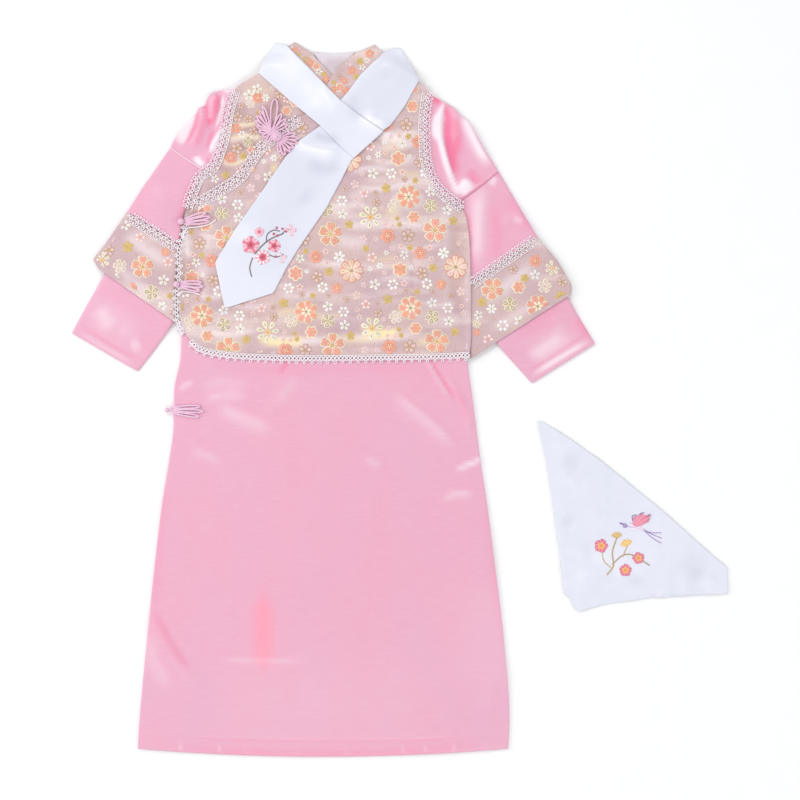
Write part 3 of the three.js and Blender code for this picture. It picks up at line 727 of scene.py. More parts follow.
class RaisedWork:
    """Small closed shapes that lie on the cloth, joined into one piece, each with its colour."""

    def __init__(self, sky, allowed=None, side=1):
        self.sky = sky
        self.allowed = allowed
        self.side = side  # 1 on top of a cloth, -1 under it
        self.points, self.faces, self.thread_colours = [], [], []
        self.count = 0

    def add(self, points, face_blocks, thread_colour):
        """Adds a shape. A block of faces is an array whose rows have the same number of corners."""
        self.points.append(points)
        for block in face_blocks:
            self.faces.extend((block + self.count).tolist())
        self.thread_colours.append(np.tile(thread_colour, (len(points), 1)))
        self.count += len(points)

    def pad(self, x, y, lift, thread_colour):
        """A low dome with an upright rim over an outline of points."""
        n = len(x)
        centre_x, centre_y = x.mean(), y.mean()
        if self.allowed is not None:
            if sample_one(self.allowed, centre_x, centre_y) < 0.5:
                return
            for _ in range(PAD_CUTS):
                out = sample(self.allowed, x, y) < 0.5
                x = np.where(out, centre_x + (x - centre_x) * PAD_CUT, x)
                y = np.where(out, centre_y + (y - centre_y) * PAD_CUT, y)
        inner_x = centre_x + (x - centre_x) * PAD_CROWN
        inner_y = centre_y + (y - centre_y) * PAD_CROWN
        x = np.concatenate([x, x, inner_x, [centre_x]])
        y = np.concatenate([y, y, inner_y, [centre_y]])
        lifts = np.repeat([-PAD_SINKS, lift * 0.45, lift, lift * 1.08], [n, n, n, 1])
        z = sample(self.sky, x, y) + self.side * lifts
        blocks = [block[:, ::self.side] for block in pad_faces(n)]
        self.add(np.stack([x, y, z], axis=1), blocks, thread_colour)

    def petal(self, x, y, angle, length, width, lift, thread_colour, shape, corners):
        """A petal from its base at a point, along an angle."""
        along, across = petal_outline(shape, corners)
        cos, sin = math.cos(angle), math.sin(angle)
        away, aside = along * length, across * width
        self.pad(x + away * cos - aside * sin, y + away * sin + aside * cos, lift, thread_colour)

    def sweep(self, x, y, lift, radius, thread_colour, closed=False, sides=5):
        """A round cord along points, which lies on the cloth at a height above it."""
        z = sample(self.sky, x, y) + lift
        line = np.stack([x, y, z], axis=1)
        if closed:
            ahead = np.roll(line, -1, axis=0) - np.roll(line, 1, axis=0)
        else:
            ahead = np.gradient(line, axis=0)
        ahead /= np.maximum(np.linalg.norm(ahead, axis=1), 1e-9)[:, None]
        aside = np.stack([-ahead[:, 1], ahead[:, 0], np.zeros(len(x))], axis=1)
        aside /= np.maximum(np.linalg.norm(aside, axis=1), 1e-9)[:, None]
        over = np.cross(ahead, aside)
        turn = np.arange(sides) * math.tau / sides
        rings = line[:, None, :] + radius * (
            np.cos(turn)[None, :, None] * aside[:, None, :]
            + np.sin(turn)[None, :, None] * over[:, None, :]
        )
        index = closed_index(len(x), sides, looped=closed)
        blocks = [grid_quads(index)[:, ::-1]]
        if not closed:
            blocks += [index[:1, :-1], index[-1:, -2::-1]]
        self.add(rings.reshape(-1, 3), blocks, thread_colour)

    def sew(self, name, material, node, holder):
        """Makes one piece of it all, which covers a node and is sewn to a sheet."""
        points, thread_colours = np.vstack(self.points), np.vstack(self.thread_colours)
        piece = add_mesh(name, points, self.faces, material, thread_colours, "thread_colour")
        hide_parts(node)
        sewn_on[holder].append(piece)


@functools.cache
def pad_faces(n):
    """Faces of a pad: its underside, two rows of quads, and the triangles round its middle."""
    k = np.arange(n)
    after = (k + 1) % n
    rim = np.stack([k, after, n + after, n + k], axis=1)
    crown = np.stack([2 * n + k, 2 * n + after, np.full(n, 3 * n)], axis=1)
    return k[None, ::-1], np.vstack([rim, rim + n]), crown


@functools.cache
def petal_outline(shape, corners):
    """Outline from a base at 0 to a tip at 1 along, and half a unit to each side across."""
    turn = np.arange(corners) * math.tau / corners
    along = (1 - np.cos(turn)) / 2
    across = -np.sin(turn) / 2
    if shape == "drop":
        across = across * (0.3 + 0.85 * along)
    if shape == "notch":
        across = across * (0.45 + 0.75 * along)
        along = along - 0.13 * np.exp(-((turn - math.pi) / 0.4) ** 2)
    if shape == "leaf":
        across = across * np.abs(np.sin(turn)) ** 0.6
    return along, across


# ---------------------------------------------------------------- tables of the raised work

def thread_colour(red, green, blue):
    return np.array(srgb(red, green, blue)[:3])


CORAL, DEEP_CORAL, BROWN = thread_colour(243, 167, 145), thread_colour(232, 141, 119), thread_colour(204, 158, 134)
CREAM, WHITE, GOLD = thread_colour(252, 240, 218), thread_colour(252, 250, 250), thread_colour(222, 186, 104)
OLIVE, GROUND, ROSE = thread_colour(172, 158, 104), thread_colour(226, 196, 200), thread_colour(248, 206, 208)
ORANGE, SAGE, PALE_GOLD = thread_colour(240, 160, 96), thread_colour(176, 178, 158), thread_colour(242, 220, 160)
PEACH, FAINT = thread_colour(248, 216, 202), thread_colour(238, 208, 212)

def disc(size, lift, colour):
    """The round middle of a motif."""
    return "round", 1, -size / 2, size, size, lift, colour


# Motifs of the brocade, for a radius of 1: shape, number, distance of their bases from the
# middle, length, width, lift in millimetres, colour.
MOTIFS = {
    "plum": [
        ("notch", 5, 0.06, 0.94, 0.9, 0.2, CREAM), ("notch", 5, 0.13, 0.79, 0.7, 0.34, CORAL),
        ("drop", 5, 0.3, 0.42, 0.15, 0.42, DEEP_CORAL), ("drop", 5, 0.08, 0.36, 0.1, 0.48, CREAM),
        disc(0.28, 0.54, GOLD),
    ],
    "mum": [
        ("notch", 7, 0.04, 0.96, 0.7, 0.18, CREAM), ("notch", 7, 0.11, 0.82, 0.54, 0.3, CORAL),
        ("drop", 7, 0.38, 0.4, 0.13, 0.4, DEEP_CORAL), ("drop", 6, 0.05, 0.36, 0.25, 0.48, CREAM),
        disc(0.22, 0.55, OLIVE),
    ],
    "lined": [
        ("notch", 8, 0.06, 0.94, 0.62, 0.2, CORAL), ("notch", 8, 0.13, 0.8, 0.46, 0.32, PEACH),
        ("drop", 8, 0.42, 0.36, 0.1, 0.42, BROWN), ("drop", 8, 0.06, 0.32, 0.14, 0.46, CREAM),
        disc(0.2, 0.5, OLIVE),
    ],
    "daisy": [
        ("drop", 7, 0.24, 0.76, 0.52, 0.26, CREAM), ("drop", 7, 0.42, 0.44, 0.2, 0.36, SAGE),
        ("round", 7, 0.06, 0.27, 0.15, 0.4, PALE_GOLD), disc(0.34, 0.46, ORANGE),
    ],
    "gold5": [
        ("notch", 5, 0.08, 0.92, 0.86, 0.2, CREAM), ("notch", 5, 0.17, 0.74, 0.64, 0.3, OLIVE),
        ("notch", 5, 0.27, 0.56, 0.42, 0.36, GROUND), disc(0.28, 0.4, GOLD),
    ],
    "coral": [
        ("round", 6, 0.05, 0.94, 0.78, 0.2, CREAM), ("round", 6, 0.07, 0.8, 0.6, 0.32, CORAL),
        ("drop", 6, 0.32, 0.4, 0.14, 0.42, DEEP_CORAL), disc(0.26, 0.44, GOLD),
    ],
    "double": [
        ("notch", 5, 0.02, 0.98, 0.88, 0.2, CORAL),
        ("notch", 5, 0.05, 0.64, 0.52, 0.32, DEEP_CORAL),
        ("drop", 5, 0.06, 0.38, 0.14, 0.4, CREAM), disc(0.24, 0.44, PALE_GOLD),
    ],
    "open": [
        ("notch", 5, 0.12, 0.88, 0.8, 0.22, CREAM), ("notch", 5, 0.23, 0.66, 0.56, 0.32, GROUND),
        ("drop", 5, 0.06, 0.32, 0.12, 0.34, CREAM), disc(0.24, 0.38, ROSE),
    ],
    "brown": [
        ("notch", 5, 0.06, 0.94, 0.82, 0.18, BROWN), ("notch", 5, 0.15, 0.74, 0.6, 0.28, GROUND),
        ("drop", 5, 0.06, 0.42, 0.14, 0.36, GOLD),
    ],
    "white5": [
        ("drop", 5, 0.14, 0.86, 0.66, 0.3, WHITE), ("drop", 5, 0.34, 0.42, 0.18, 0.38, SAGE),
        disc(0.32, 0.34, OLIVE),
    ],
    "white6": [("drop", 6, 0.08, 0.92, 0.6, 0.3, WHITE), disc(0.32, 0.4, SAGE)],
    "ring": [("round", 6, 0.38, 0.62, 0.58, 0.32, WHITE), disc(0.4, 0.24, ROSE)],
    "pink": [
        ("round", 5, 0.3, 0.68, 0.72, 0.3, ROSE), ("round", 5, 0.48, 0.36, 0.36, 0.38, WHITE),
        disc(0.48, 0.34, CORAL),
    ],
    "gold": [
        ("round", 5, 0.04, 0.94, 0.74, 0.24, GOLD), ("drop", 5, 0.08, 0.62, 0.18, 0.36, OLIVE),
    ],
    "small": [
        ("notch", 5, 0.04, 0.94, 0.84, 0.24, CORAL), ("drop", 5, 0.1, 0.6, 0.22, 0.32, DEEP_CORAL),
        disc(0.36, 0.38, PALE_GOLD),
    ],
    "faint": [("notch", 5, 0.12, 0.84, 0.72, 0.2, FAINT), disc(0.28, 0.3, ROSE)],
}

# One repeat of the brocade: motif, place from its white daisy, radius and turn in degrees.
REPEAT = [
    ("daisy", 0, 0, 13.5, 8), ("gold", 95, -4, 5.5, 20), ("plum", 74, -15, 15.5, 15),
    ("gold5", 69, 13, 9, 40), ("white5", 88, 8, 6, 10), ("coral", 50, 0, 8),
    ("open", 27, 13, 8.5, 30), ("faint", -8, -25, 5.5), ("double", 20, -21, 9.5, 50),
    ("brown", 43, -21, 8.5, 12), ("gold", -5, -36, 4.5, 60), ("white6", 84, -41, 7, 15),
    ("pink", 2, -46, 6.5), ("lined", 98, -57, 15.5, 4), ("white5", 39, -43, 5.5, 50),
    ("double", 57, -41, 8.5, 20), ("coral", 34, -60, 9.5, 30), ("gold", 72, -58, 5.5),
    ("brown", 59, -64, 8, 40), ("white5", 5, -77, 6.5), ("ring", 26, -77, 6.5, 10),
    ("ring", 65, -76, 6.5, 40), ("small", 81, -77, 7, 15), ("faint", 104, -85, 6, 30),
    ("gold", 20, -94, 6, 30), ("pink", -5, -100, 6, 20), ("mum", 46, -104, 15.5, 25),
    ("white5", 71, -98, 6, 30), ("ring", 89, -104, 6.5), ("brown", 9, -110, 5.5),
]
REPEAT_ACROSS, REPEAT_UP = np.array([119.5, 4.4]), np.array([-2.0, 127.3])
DAISY_PLACE = np.array([50, 620])
SMALL_KINDS = ["faint", "pink", "white6", "faint", "brown", "pink", "gold"]

CHEST_MOTIFS = [
    ("white5", -80, 767, 6), ("white5", -89, 760, 6.5, 20), ("double", -79, 757, 7.5, 10),
    ("white6", -70, 757, 5), ("brown", -98, 748, 4.5), ("open", -87, 750, 6, 30),
    ("brown", -102, 735, 7, 15), ("gold", -46, 768, 5), ("coral", -36, 752, 7),
    ("brown", -103, 699, 7.5), ("gold5", -90, 706, 7, 20), ("brown", -84, 718, 6.5),
    ("coral", -119, 706, 5), ("brown", -90, 733, 6, 30), ("gold5", -118, 722, 5.5),
    ("gold", -78, 740, 4), ("white5", -112, 740, 4.5), ("double", -110, 688, 8, 25),
    ("ring", -74, 690, 6), ("small", -78, 680, 7), ("gold", -96, 690, 5, 10),
    ("plum", -22, 762, 9), ("white5", -128, 664, 5), ("gold", -116, 668, 5, 30),
    ("pink", -100, 674, 5), ("brown", -54, 761, 7, 20), ("pink", -46, 755, 4.5),
    ("coral", -46, 742, 6), ("faint", -62, 768, 4), ("brown", -68, 738, 5),
    ("double", -104, 722, 6.5), ("ring", -97, 715, 4.5), ("faint", -110, 756, 4.5),
    ("coral", -86, 697, 5.5), ("pink", -130, 678, 5), ("brown", -72, 706, 4.5),
]
BAND_MOTIFS = {
    "left": [
        ("white5", -231, 611, 6), ("pink", -214, 597, 6.5), ("gold", -228, 586, 7, 20),
        ("faint", -247, 596, 5), ("brown", -250, 582, 8, 10), ("daisy", -258, 571, 10, 20),
        ("open", -237, 564, 9, 30), ("plum", -211, 563, 14.5, 18), ("small", -185, 580, 6),
        ("pink", -182, 569, 6.5, 20), ("white5", -187, 548, 6.5, 10),
        ("gold5", -201, 534, 9.5, 30), ("small", -224, 539, 7.5), ("ring", -243, 551, 5.5),
        ("white6", -189, 518, 6), ("gold", -180, 530, 4), ("faint", -206, 588, 4),
        ("brown", -180, 508, 6),
    ],
    "right": [
        ("plum", 190, 538, 14.5, 50), ("gold", 178, 523, 6, 20), ("white6", 189, 515, 6),
        ("gold5", 210, 520, 9.5, 20), ("coral", 220, 540, 8.5), ("gold", 227, 550, 5.5),
        ("white5", 239, 554, 6, 20), ("open", 250, 541, 9, 10), ("mum", 242, 518, 15, 10),
        ("gold", 269, 529, 7.5, 40), ("brown", 270, 546, 7), ("double", 239, 570, 8),
        ("daisy", 259, 562, 9), ("white5", 221, 501, 6.5), ("ring", 202, 496, 7),
        ("pink", 185, 480, 6.5), ("white5", 174, 508, 5.5, 40), ("small", 172, 488, 5),
        ("open", 172, 498, 6), ("gold", 174, 466, 5), ("brown", 214, 560, 6),
        ("faint", 262, 510, 5), ("faint", 234, 492, 4),
    ],
}
COLLAR_MOTIFS = {
    "left": [
        ("small", -37, 811, 6), ("gold", -27, 800, 5), ("double", -19, 797, 5.5, 20),
        ("white5", -9, 787, 4.5), ("small", -1, 778, 5, 10), ("double", 9, 766, 4.5),
        ("gold", -33, 806, 4, 30), ("brown", -22, 803, 3.6), ("coral", -12, 793, 5, 15),
        ("gold", -3, 784, 3.6), ("white5", -41, 817, 3),
    ],
    "right": [
        ("small", 49, 808, 6, 20), ("gold", 38, 799, 5), ("double", 29, 788, 6),
        ("small", 20, 776, 5, 30), ("white5", 15, 766, 3), ("coral", 15, 768, 6),
        ("double", 22, 764, 6, 25), ("gold", 34, 781, 4.5), ("white5", 41, 792, 4),
        ("faint", 26, 798, 5), ("ring", 46, 800, 3.6), ("brown", 14, 781, 4),
        ("gold", 8, 774, 3.5),
    ],
}


# ---------------------------------------------------------------- flowers of the brocade

LARGE_PETAL = 5  # length from which a petal in view has more corners


def add_motif(work, kind, x, y, radius, turn=0):
    """One flower: rings of petals, each a little over the one before."""
    for shape, number, base, length, width, lift, colour in MOTIFS[kind]:
        corners = 10 if length * radius > LARGE_PETAL and work.side > 0 else 7
        for k in range(number):
            angle = math.radians(turn) + math.tau * k / number
            shade = colour * rng.uniform(0.9, 1.05) * (1, 1, rng.uniform(0.82, 1.04))
            work.petal(x + base * radius * math.cos(angle), y + base * radius * math.sin(angle),
                       angle, length * radius, width * radius, lift, shade, shape, corners)


def small_flowers(attempts=240):
    """Small faint flowers where the repeat has room between its others, at seeded places."""
    draw = np.random.default_rng(11)
    shifts = [a * REPEAT_ACROSS + b * REPEAT_UP for a in (-1, 0, 1) for b in (-1, 0, 1)]
    taken = [(np.array([x, y]), radius) for _, x, y, radius, *_ in REPEAT]
    found = []
    for _ in range(attempts):
        place = draw.uniform() * REPEAT_ACROSS + draw.uniform() * REPEAT_UP
        radius = draw.uniform(3.0, 4.4)
        clear = min(np.linalg.norm(place + shift - other) - size
                    for other, size in taken for shift in shifts)
        if clear > radius:
            taken.append((place, radius))
            kind = SMALL_KINDS[len(found) % len(SMALL_KINDS)]
            found.append((kind, *place, radius, draw.uniform(0, 70)))
    return found


def printed_places(motifs):
    """The motifs of every repeat that can reach the vest's front."""
    for across in range(-3, 3):
        for up in range(-2, 3):
            origin = DAISY_PLACE + across * REPEAT_ACROSS + up * REPEAT_UP
            for kind, x, y, *size_and_turn in motifs:
                yield kind, origin[0] + x, origin[1] + y, *size_and_turn


def outline_cells(sections):
    """The cells of the map under a cloth."""
    plan = Plan(sections, 6, smooth=True)
    return inside(plan.x, plan.y)


def shown_area(sections, margin, hidden=()):
    """Where a cloth shows: inside its outline by a margin, and clear of those that hide it."""
    shown = ~widened(~outline_cells(sections), margin)
    for other in hidden:
        shown &= widened(~outline_cells(other), 2)
    return shown.astype(float)


def add_flowers(sheet_name, node, places, sky, shown, side=1):
    """The woven flowers of one brocade piece, kept to where it shows."""
    work = RaisedWork(sky, shown, side)
    for place in places:
        add_motif(work, *place)
    ending = "_flowers" if side == 1 else "_flowers_below"
    work.sew(sheet_name + ending, woven_thread, node, sheet_name)


# ---------------------------------------------------------------- lace

LACE_ROUTES = {
    "lace_armhole_left": ("scalloped", [
        (-106, 766), (-113, 743), (-118, 714), (-123, 697), (-131, 678), (-146, 667),
        (-156, 646), (-161, 630),
    ]),
    "lace_armhole_right": ("scalloped", [
        (157, 631), (137, 645), (123, 661), (115, 683), (113, 706), (113, 735), (117, 764),
    ]),
    "lace_closure": ("scalloped", [
        (-30, 734), (-54, 716), (-79, 696), (-99, 667), (-124, 650), (-151, 634),
    ]),
    "lace_side": ("narrow", [
        (-161, 616), (-165, 598), (-170, 578), (-169, 560), (-172, 529), (-171, 500),
        (-163, 486),
    ]),
    "lace_hem": ("braided", [
        (-157, 478), (-146, 468), (-122, 462), (-89, 459), (-24, 457), (53, 458), (120, 459),
        (164, 461),
    ]),
    "band_lace_left": ("scalloped", [(-171, 586), (-227.5, 623)]),
    "band_lace_right": ("scalloped", [(239.5, 596), (165, 544)]),
}
CLOSURE_PIPING = [  # cream edges that turn in under the two knots at the vest's side
    [(-127, 617), (-131, 614), (-137, 611), (-148, 609), (-158, 608), (-163, 604), (-165, 596)],
    [(-145, 531), (-152, 533.5), (-160, 535), (-167, 534), (-171, 530)],
]
LACE_PERIOD, HEM_PERIOD = 8.2, 8.8
THREAD = 0.55  # radius of the lace's thread
LACE_DYE = thread_colour(250, 243, 248)  # carried by the mesh in its colour attribute


class Route:
    """Even points along a route, with the directions to its left side."""

    def __init__(self, path, spacing):
        points = curve_points(path, spacing)
        steps = np.linalg.norm(np.diff(points, axis=0), axis=1)
        passed = np.concatenate([[0], np.cumsum(steps)])
        self.along = np.linspace(0, passed[-1], max(3, round(passed[-1] / spacing) + 1))
        self.x = np.interp(self.along, passed, points[:, 0])
        self.y = np.interp(self.along, passed, points[:, 1])
        heading = headings(np.stack([self.x, self.y], axis=1))
        self.aside_x, self.aside_y = -heading[:, 1], heading[:, 0]

    def beside(self, offset):
        """The points, moved to the route's left side."""
        return self.x + self.aside_x * offset, self.y + self.aside_y * offset


def lace_cord(work, route, offset, lift, radius=THREAD):
    work.sweep(*route.beside(offset), lift, radius, LACE_DYE)


def lace_twist(work, route, period, offset, swing, lift, rise, radius=THREAD):
    """Two cords that swing round each other, the one over the other by turns."""
    for phase in (0, math.pi):
        turn = math.tau * route.along / period + phase
        lace_cord(work, route, offset + swing * np.sin(turn), lift + rise * np.cos(turn), radius)


def lace_loops(work, route, period, offset, size, start=0.0):
    """Small closed loops along one side of a lace."""
    turn = np.arange(9) * math.tau / 9
    x, y = route.beside(offset)
    for at in np.arange(start + period / 2, route.along[-1] - period / 4, period):
        grow = size * rng.uniform(0.88, 1.1)
        work.sweep(np.interp(at, route.along, x) + grow * np.cos(turn),
                   np.interp(at, route.along, y) + grow * np.sin(turn),
                   THREAD + 0.15 * rng.uniform(-1, 1), THREAD, LACE_DYE, closed=True)


def add_hem_lace(work, route):
    """Two edge cords with a braid between them, and loops along the lower edge."""
    lace_cord(work, route, 4.2, THREAD)
    lace_twist(work, route, HEM_PERIOD, 1.0, 2.0, 0.8, 0.45, 0.75)
    lace_cord(work, route, -1.6, THREAD, 0.5)
    lace_loops(work, route, HEM_PERIOD, -3.7, 1.5)
    lace_loops(work, route, HEM_PERIOD, 1.0, 0.9, start=HEM_PERIOD / 2)


def add_edge_lace(work, route, aside, size):
    """Two twisted cords with loops to both sides, half a period apart."""
    lace_twist(work, route, LACE_PERIOD, 0.0, 1.7, 0.8, 0.4)
    lace_loops(work, route, LACE_PERIOD, aside, size)
    lace_loops(work, route, LACE_PERIOD, -aside, size, start=LACE_PERIOD / 2)


def add_lace(node, style, path, sky):
    """One length of lace, sewn to the sleeve band or the vest front that it trims."""
    work = RaisedWork(sky)
    route = Route(path, 0.9)
    if style == "braided":
        add_hem_lace(work, route)
    if style == "scalloped":
        add_edge_lace(work, route, 3.9, 1.7)
        lace_loops(work, route, LACE_PERIOD, 5.2, 0.9, start=LACE_PERIOD / 2)
        lace_loops(work, route, LACE_PERIOD, -5.2, 0.9)
        lace_cord(work, route, 7.0, THREAD, 0.5)
    if style == "narrow":
        add_edge_lace(work, route, 3.0, 1.2)
        for edge in CLOSURE_PIPING:
            lace_cord(work, Route(edge, 1.2), 0.0, 0.8, 0.8)
    holder = "band_" + node.split("_")[-1] if node.startswith("band") else "vest_front_panel"
    work.sew(f"{node}_thread", lace_thread, node, holder)


# ---------------------------------------------------------------- knotted frogs

CHEST_FAN = [  # tip x, tip y, width of the loop
    (-59, 755, 10), (-52, 738, 5), (-73, 747, 4.6), (-77, 742, 4.4), (-80, 736, 4.4),
    (-81, 730, 4.4), (-79.5, 724, 4.4), (-77, 718, 4.4), (-73, 712, 4.6), (-68, 706, 5),
    (-47, 732, 4.6), (-45, 726, 4.6),
]
CHEST_LOWER = [
    (-43, 718, 4.6), (-36, 715, 4.6), (-32, 710, 4.8), (-33, 704, 4.8), (-38, 699, 4.6),
    (-42, 695, 4.6), (-48, 691, 5.4), (-54, 694, 4.6),
]
SIDE_FROGS = {  # middle of the knot, its size, and the loops
    "frog_armpit": ((-167, 615), 3.6, [(-139, 624.5, 4.6), (-134, 620, 4.6), (-135, 615, 4.6)]),
    "frog_side": ((-172, 543), 3.6, [(-144, 545, 4.6), (-142, 540.5, 4.6), (-146, 536, 4.6)]),
    "robe_frog": ((-183, 399), 2.8, [(-146, 403, 4.6), (-142, 397.5, 4.6), (-147, 391.5, 4.6)]),
}
WRAPS = [(25, 20), (35, 140), (30, 260), (80, 60), (75, 165)]  # lean and facing in degrees
FROG_CORD = 1.15  # radius of the frogs' cord
CORD_DYE = thread_colour(244, 200, 224)  # carried by the mesh in its colour attribute
LOOP_LEVEL = 0.5  # height between the levels of the loops' roots
BALL_FLATTENED = 0.8  # a knot's height, as a share of its width
CORE_SIZE, WRAP_RADIUS = 0.86, 0.24  # as shares of a knot's size


def add_loops(name, node, tips, roots, sky, holder, levels=2):
    """Long closed loops of cord, each from its root to its tip, at a few levels in turn."""
    work = RaisedWork(sky)
    turn = np.arange(22) * math.tau / 22
    along = (1 - np.cos(turn)) / 2
    for n, ((tip_x, tip_y, width), (x, y)) in enumerate(zip(tips, roots)):
        reach_x, reach_y = tip_x - x, tip_y - y
        length = math.hypot(reach_x, reach_y)
        across = np.sin(turn) * (0.35 + 0.65 * along) * width / 2
        lift = LOOP_LEVEL * (n % levels)
        work.sweep(x + reach_x * along - reach_y / length * across,
                   y + reach_y * along + reach_x / length * across,
                   FROG_CORD + lift * (1 - along * 0.7), FROG_CORD, CORD_DYE,
                   closed=True, sides=7)
    work.sew(name, frog_cord, node, holder)


def add_ball(name, node, x, y, size, sky, holder):
    """A ball knot: a round core under wraps of cord that cross each other."""
    work = RaisedWork(sky)
    middle = np.array([x, y, sample_one(sky, x, y) + size * BALL_FLATTENED])
    rows, around = 9, 14
    tilt = np.linspace(0.02, math.pi - 0.02, rows)[:, None]
    turn = np.arange(around) * math.tau / around
    sphere = np.stack([
        np.sin(tilt) * np.cos(turn), np.sin(tilt) * np.sin(turn),
        np.cos(tilt) * BALL_FLATTENED * np.ones(around),
    ], axis=-1) * size * CORE_SIZE
    index = closed_index(rows, around)
    ends = [index[:1, :-1], index[-1:, -2::-1]]
    work.add(middle + sphere.reshape(-1, 3), [grid_quads(index)[:, ::-1], *ends], CORD_DYE)
    for lean, facing in WRAPS:
        add_wrap(work, middle, size, math.radians(lean), math.radians(facing))
    work.sew(name, frog_cord, node, holder)


def add_wrap(work, middle, size, lean, facing, steps=18, sides=6):
    """One turn of cord round a ball, tilted away from level."""
    turn = np.arange(steps) * math.tau / steps
    across = np.array([math.cos(facing), math.sin(facing), 0.0])
    axis = np.array([-math.sin(facing) * math.sin(lean), math.cos(facing) * math.sin(lean),
                     math.cos(lean)])
    upward = np.cross(axis, across)
    outward = np.cos(turn)[:, None] * across + np.sin(turn)[:, None] * upward
    around = np.arange(sides) * math.tau / sides
    radius = size * WRAP_RADIUS
    rings = outward[:, None, :] * (size * 0.8 + radius * np.cos(around)[None, :, None])
    rings = rings + axis * (radius * np.sin(around)[None, :, None])
    rings[..., 2] *= 0.84
    quads = grid_quads(closed_index(steps, sides, looped=True))
    work.add((middle + rings).reshape(-1, 3), [quads], CORD_DYE)


def add_frogs(sky):
    vest = "vest_front_panel"
    for name, node, tips, root in (
        ("frog_chest_fan", "frog_chest_loops", CHEST_FAN, (-63, 716)),
        ("frog_chest_lower_fan", "frog_chest_knot_loops", CHEST_LOWER, (-55, 710)),
    ):
        add_loops(name, node, tips, [root] * len(tips), sky, vest, levels=3)
    add_ball("frog_chest_ball", "frog_chest_knot", -57.5, 712, 6.2, sky, vest)
    for node, ((x, y), size, tips) in SIDE_FROGS.items():
        holder = "robe_front_panel" if node.startswith("robe") else vest
        roots = [(x + 4, y + 2.6 - 2.6 * n) for n in range(len(tips))]
        add_loops(f"{node}_cords", f"{node}_loops", tips, roots, sky, holder)
        add_ball(f"{node}_ball", f"{node}_knot", x, y, size, sky, holder)


# ---------------------------------------------------------------- embroidery

CRIMSON, BLUSH, PALE_BLUSH = thread_colour(226, 84, 118), thread_colour(244, 156, 178), thread_colour(250, 208, 220)
TWIG, STEM, VIOLET = thread_colour(108, 84, 86), thread_colour(134, 122, 124), thread_colour(128, 96, 172)
SUN, TAN, LILAC = thread_colour(252, 196, 84), thread_colour(214, 184, 132), thread_colour(214, 186, 232)
DEEP_ROSE, ROSE_RED, PALE_LILAC = thread_colour(186, 62, 96), thread_colour(234, 112, 148), thread_colour(236, 226, 246)
# Painted light on the seam cords and stitches: a pale pink painted highlight on the left shoulder
# seam and the running stitches, a deep pink painted shade in the right shoulder seam.
PAINTED_SEAM_HIGHLIGHT, PAINTED_SEAM_SHADE = thread_colour(248, 206, 222), thread_colour(222, 138, 168)
BARK, PINKS = [TWIG, STEM, TWIG], [BLUSH, PALE_BLUSH, BLUSH, CRIMSON]

SCARF_TWIGS = [  # path, width, colours in turn
    ([(-86, 552), (-88, 562), (-85, 573)], 1.7, [STEM, TWIG]),
    ([(-82, 578), (-72, 589), (-62, 596), (-50, 601)], 1.9, BARK),
    ([(-69, 591), (-68, 600), (-61, 605), (-54, 604)], 1.5, BARK),
    ([(-52, 600), (-45, 606), (-38, 605)], 1.3, BARK),
    ([(-66, 577), (-58, 574), (-50, 577)], 1.3, BARK),
]
SCARF_BUDS = [(-62, 600), (-57, 606), (-50, 605), (-46, 602), (-56, 597), (-60, 574)]
SCARF_BLOSSOMS = [  # x, y, radius, turn, petals, their hearts, centre
    (-87, 588, 11.0, 12, PINKS, CRIMSON, DEEP_ROSE),
    (-73, 574, 9.5, 40, [BLUSH, PALE_BLUSH, WHITE], CRIMSON, DEEP_ROSE),
    (-60, 587, 8.0, 70, PINKS, CRIMSON, DEEP_ROSE),
    (-77, 603, 6.0, 20, [PALE_BLUSH, BLUSH], BLUSH, CRIMSON),
]
SCARF_LOOSE_PETALS = [  # x, y, angle, length
    (-42, 603, 0.4, 8.5), (-42, 604, 1.5, 8.5), (-43, 603, -0.8, 7.0), (-44, 604, 2.5, 6.0),
    (-52, 573, 0.3, 7.5), (-53, 572, -0.9, 6.5), (-53, 574, 1.4, 6.0), (-78, 596, 1.9, 6.0),
]
KERCHIEF_TWIGS = [
    ([(322, 210), (329, 220), (328, 236), (333, 252)], 2.2, [TAN, OLIVE]),
    ([(328, 222), (340, 232), (352, 232), (370, 221)], 1.9, [TAN, STEM]),
    ([(340, 231), (345, 243)], 1.5, [TAN]),
    ([(326, 218), (318, 226), (316, 236)], 1.3, [TAN]),
]
KERCHIEF_BLOSSOMS = [(315, 243, 8.5, 0), (358, 229, 7.5, 30), (343, 215, 7.8, 15)]
SLANT = 0.7  # by which the stitches of a line lean, in radians
STITCH_PITCH, STITCH_LENGTH, STITCH_WIDTH, STITCH_LIFT = 3.4, 2.3, 0.6, 0.26
STITCH_LINES = [  # along the robe's hem and both cuffs
    [(-213, 28), (-110, 20.5), (0, 19), (110, 20.5), (205, 28)],
    [(-213, 453), (-250, 475), (-286, 498)],
    [(229, 440), (264, 463), (300, 485)],
]


def stitched_petal(work, x, y, angle, length, width, colours, strands=7, lift=0.5):
    """A petal filled with separate satin stitches that fan out from its base."""
    for k in range(strands):
        spread = (k + 0.5) / strands * 2 - 1
        lean = angle + spread * math.atan2(width / 2, length * 0.75)
        reach = length * (1 - 0.28 * spread * spread) * rng.uniform(0.94, 1.04)
        shade = colours[k % len(colours)] * rng.uniform(0.94, 1.04)
        work.petal(x + spread * width * 0.08 * -math.sin(angle),
                   y + spread * width * 0.08 * math.cos(angle),
                   lean, reach, width / strands * 1.9, lift, shade, "leaf", 8)


def stitched_line(work, path, width, colours, pitch=1.1):
    """A line worked in short slanted stitches."""
    route = Route(path, pitch)
    for k, (x, y) in enumerate(zip(route.x, route.y)):
        angle = math.atan2(route.aside_y[k], route.aside_x[k]) - SLANT
        shade = colours[k % len(colours)] * rng.uniform(0.92, 1.06)
        work.petal(x - math.cos(angle) * width / 2, y - math.sin(angle) * width / 2,
                   angle, width, pitch * 1.5, 0.5, shade, "leaf", 8)


